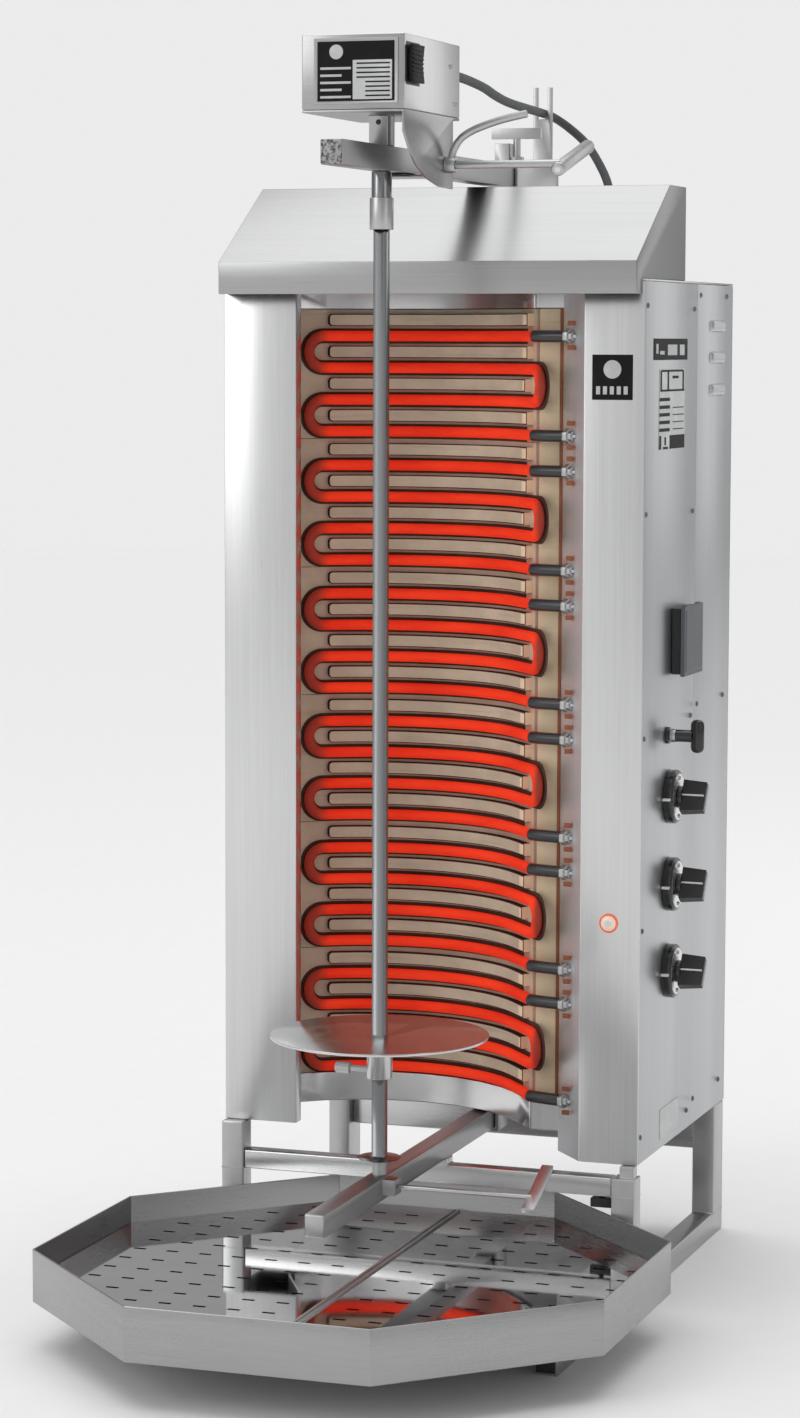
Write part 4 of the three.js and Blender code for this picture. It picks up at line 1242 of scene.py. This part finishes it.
def makeKnob(index, z):
    y, depth, top = knob["y"], knob["depth"], sideFace + knob["depth"]
    foot = turned("base", (sideFace + 1, y, z), "x",
                  [(knob["shaft"], 0), (knob["shaft"], depth - 0.4), (knob["collar"], depth - 0.4),
                   (knob["collar"], depth + 2.6), (knob["collar"] - 0.8, depth + 4.2)], 48, 0.5, 2)
    width, length = knob["gripHalfWidth"], knob["gripHalfLength"]
    grip = slab("grip", (top + knob["gripFrom"], y - width, z - length),
                (top + knob["gripTo"], y + width, z + length), 0)
    pick(grip, lambda c, n: n.x > 0.9)
    bpy.ops.transform.resize(value=(1, 0.8, 0.9), center_override=spot(top + knob["gripTo"], y, z))
    insetPicked(1.2)
    insetPicked(0.5, 0.4)
    done()
    for part in (foot, grip):
        part.data.materials.append(blackGloss)
        part.data.materials.append(brightSheet)
    for side in grip.data.polygons:           # a bright plate is let into the end of the bar
        side.material_index = int(side.normal.x > 0.9 and side.area > 2e-4)
    soften(grip, 1.1, 3)
    line = slab(f"knob_{index}_line", (top + knob["lineFrom"], y - 6.25, z - knob["lineHalf"]),
                (top + knob["lineTo"], y - 4.2, z + knob["lineHalf"]), 0.15, 1)
    turn = Matrix.Rotation(math.radians(-knob["tilt"]), 4, "X")
    centre = spot(top, y, z)
    for part in (grip, line):
        part.data.transform(Matrix.Translation(centre) @ turn @ Matrix.Translation(-centre))
    whole = joined(f"knob_{index}_grip", foot, grip)
    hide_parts(f"knob_{index}")
    finishPiece(whole, f"knob_{index}", None, "black_plastic")
    finishPiece(line, f"knob_{index}", whiteMark, "plain_steel")


socket = {"y": (115, 187), "z": (651, 721), "depth": 10,
          "lidY": (113, 189), "lidZ": (649, 723), "lidFrom": 10.3, "lidTo": 15,
          "hingeX": 243, "hingeZ": 722, "hingeY": (120, 168), "hingeLength": 14, "hingeRadius": 2.4}


def makeSocket():
    low, high = zip((sideFace, sideFace + socket["depth"]), socket["y"], socket["z"])
    body = slab("socket_base_body", low, high, 0)
    pick(body, lambda c, n: n.x > 0.9)
    insetPicked(4)
    insetPicked(1.2, -2)
    done()
    soften(body, 1.4, 3)
    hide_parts("socket_base")
    finishPiece(body, "housing", blackSatin, "black_plastic")
    across = (sideFace + socket["lidFrom"], sideFace + socket["lidTo"])
    low, high = zip(across, socket["lidY"], socket["lidZ"])
    lid = slab("socket_lid_cover", low, high, 0)
    pick(lid, lambda c, n: n.x > 0.9)
    insetPicked(4)
    insetPicked(0.8, 0.9)
    done()
    soften(lid, 1.2, 3)
    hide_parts("socket_lid")
    finishPiece(lid, "socket_lid", greyPlastic, "grey_plastic")
    x, z = socket["hingeX"], socket["hingeZ"]
    hinges = [slantRod("hinge", (x, y, z), (x, y + socket["hingeLength"], z),
                       socket["hingeRadius"], 0.4, 24) for y in socket["hingeY"]]
    finishPiece(joined("socket_lid_hinges", *hinges), "socket_lid", greyPlastic, "grey_plastic")


switch = {"y": 101, "z": 588, "stem": [(9, 0), (9, 3), (6.5, 3.6), (6.5, 28)],
          "barOut": 33, "barHalf": 17.5, "barRadius": 7.2, "flatter": 0.85,
          "collarOut": 4, "collar": [(6.9, 0), (7.1, 0.4), (7.1, 5.6), (6.9, 6)]}


def makeSwitchHandle():                       # a slightly flattened bar on a round stem
    y, z, x = switch["y"], switch["z"], sideFace + switch["barOut"]
    stem = turned("stem", (sideFace, y, z), "x", switch["stem"], 40, 0.4, 2)
    half = switch["barHalf"]
    bar = slantRod("bar", (x, y, z - half), (x, y, z + half), switch["barRadius"], 5.4)
    centre = spot(x, y, z)
    bar.data.transform(Matrix.Translation(centre) @ Matrix.Scale(switch["flatter"], 4, (0, 1, 0))
                       @ Matrix.Translation(-centre))
    whole = joined("main_switch_grip", stem, bar)
    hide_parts("main_switch_handle")
    finishPiece(whole, "main_switch_handle", blackGloss, "black_plastic")
    collar = turned("main_switch_collar", (sideFace + switch["collarOut"], y, z), "x", switch["collar"], 40)
    finishPiece(collar, "main_switch_handle", steelCast, "brushed_steel")


lamp = {"x": 196.8, "z": 401, "dome": [(8.2, 0), (8.0, -1.7), (6.4, -3.1), (3.6, -3.9), (1.2, -4.1)],
        "rim": [(10.2, 0), (10.0, -1.2), (8.6, -1.5), (8.5, -0.2)],
        "core": [(3.4, 0), (3.1, -0.5), (1.5, -0.7)]}


def makeLamp():
    # painted highlight: the dome's pale face and the white disc at its centre
    dome = turned("pilot_lamp_lens", (lamp["x"], -0.3, lamp["z"]), "y", lamp["dome"], 40)
    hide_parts("pilot_lamp")
    finishPiece(dome, "housing", lensPaintedHighlight, "orange_lens")
    rim = turned("pilot_lamp_rim", (lamp["x"], -0.1, lamp["z"]), "y", lamp["rim"], 44)
    finishPiece(rim, "housing", lens, "orange_lens")
    # painted highlight: a white disc at the centre of the lens
    core = turned("pilot_lamp_core_painted_highlight", (lamp["x"], -4.2, lamp["z"]), "y", lamp["core"], 32)
    finishPiece(core, "housing", whiteMark, "orange_lens")


def makeControls():
    for index, height in enumerate(knob["heights"], 1):
        makeBezel(index, height)
        makeKnob(index, height)
    makeSocket()
    makeSwitchHandle()
    makeLamp()
    finishPiece(fromNode("switch_block", 1.0, 2), "housing", blackSatin, "black_plastic")


makeControls()
print("controls made")


# drip tray: slots stand in rows on both inserts, and a folded hem runs along each side of the seam
tray = {"centreY": -232, "acrossFlats": 592, "wallThickness": 3.5, "rimGap": 20, "insertTop": 71,
        "seam": 15, "seamGap": 10, "slotLength": 13, "slotWidth": 5, "pitchX": 36, "pitchY": 38.7,
        "firstX": -24, "firstY": -406,
        "hemGap": 0.9, "hemWidth": 3.4, "hemRise": 2.2, "hemSink": 0.2, "hemEnd": 6}


def slotPlaces(side):                         # all the places that lie inside the octagon, on one insert
    apothem = tray["acrossFlats"] / 2 - tray["wallThickness"] - tray["rimGap"]
    spots = []
    for row in range(-3, 13):
        for column in range(-8, 9):
            x = tray["firstX"] + column * tray["pitchX"]
            y = tray["firstY"] + row * tray["pitchY"]
            ahead = abs(y - tray["centreY"])
            inside = max(abs(x), ahead, (abs(x) + ahead) / math.sqrt(2)) < apothem
            if inside and side * (x - tray["seam"]) > tray["seamGap"]:
                spots.append((x, y))
    return spots


def makeInsert(name, side):
    plate = fromNode(f"tray_insert_{name}", 0.0, 1, f"tray_insert_{name}_plate")
    length, width, top = tray["slotLength"], tray["slotWidth"], tray["insertTop"]
    first = slab("slot", (0, 0, top - 4), (length, width, top + 3), 0)
    slots = [twin(first, "slot", (x - length / 2, y - width / 2, 0)) for x, y in slotPlaces(side)]
    bpy.data.objects.remove(first)
    carve(plate, joined("slots", *slots))
    soften(plate, 0)
    finishPiece(plate, f"tray_insert_{name}", mirror, "polished_steel")
    low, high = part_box(f"tray_insert_{name}")
    front, back = (low.y - frontY) / mm + tray["hemEnd"], (high.y - frontY) / mm - tray["hemEnd"]
    outs = (tray["hemGap"], tray["hemGap"] + tray["hemWidth"])
    near, far = sorted(tray["seam"] + side * out for out in outs)
    hem = slab(f"tray_insert_{name}_hem", (near, front, top - tray["hemSink"]),
               (far, back, top + tray["hemRise"]), 0.9, 3)
    finishPiece(hem, f"tray_insert_{name}", steelCast, "polished_steel")


def makeTray():
    finishPiece(fromNode("drip_tray", 0.8, 2), "drip_tray", steelTray, "brushed_steel")
    makeInsert("left", -1)
    makeInsert("right", 1)


makeTray()
print("tray made")
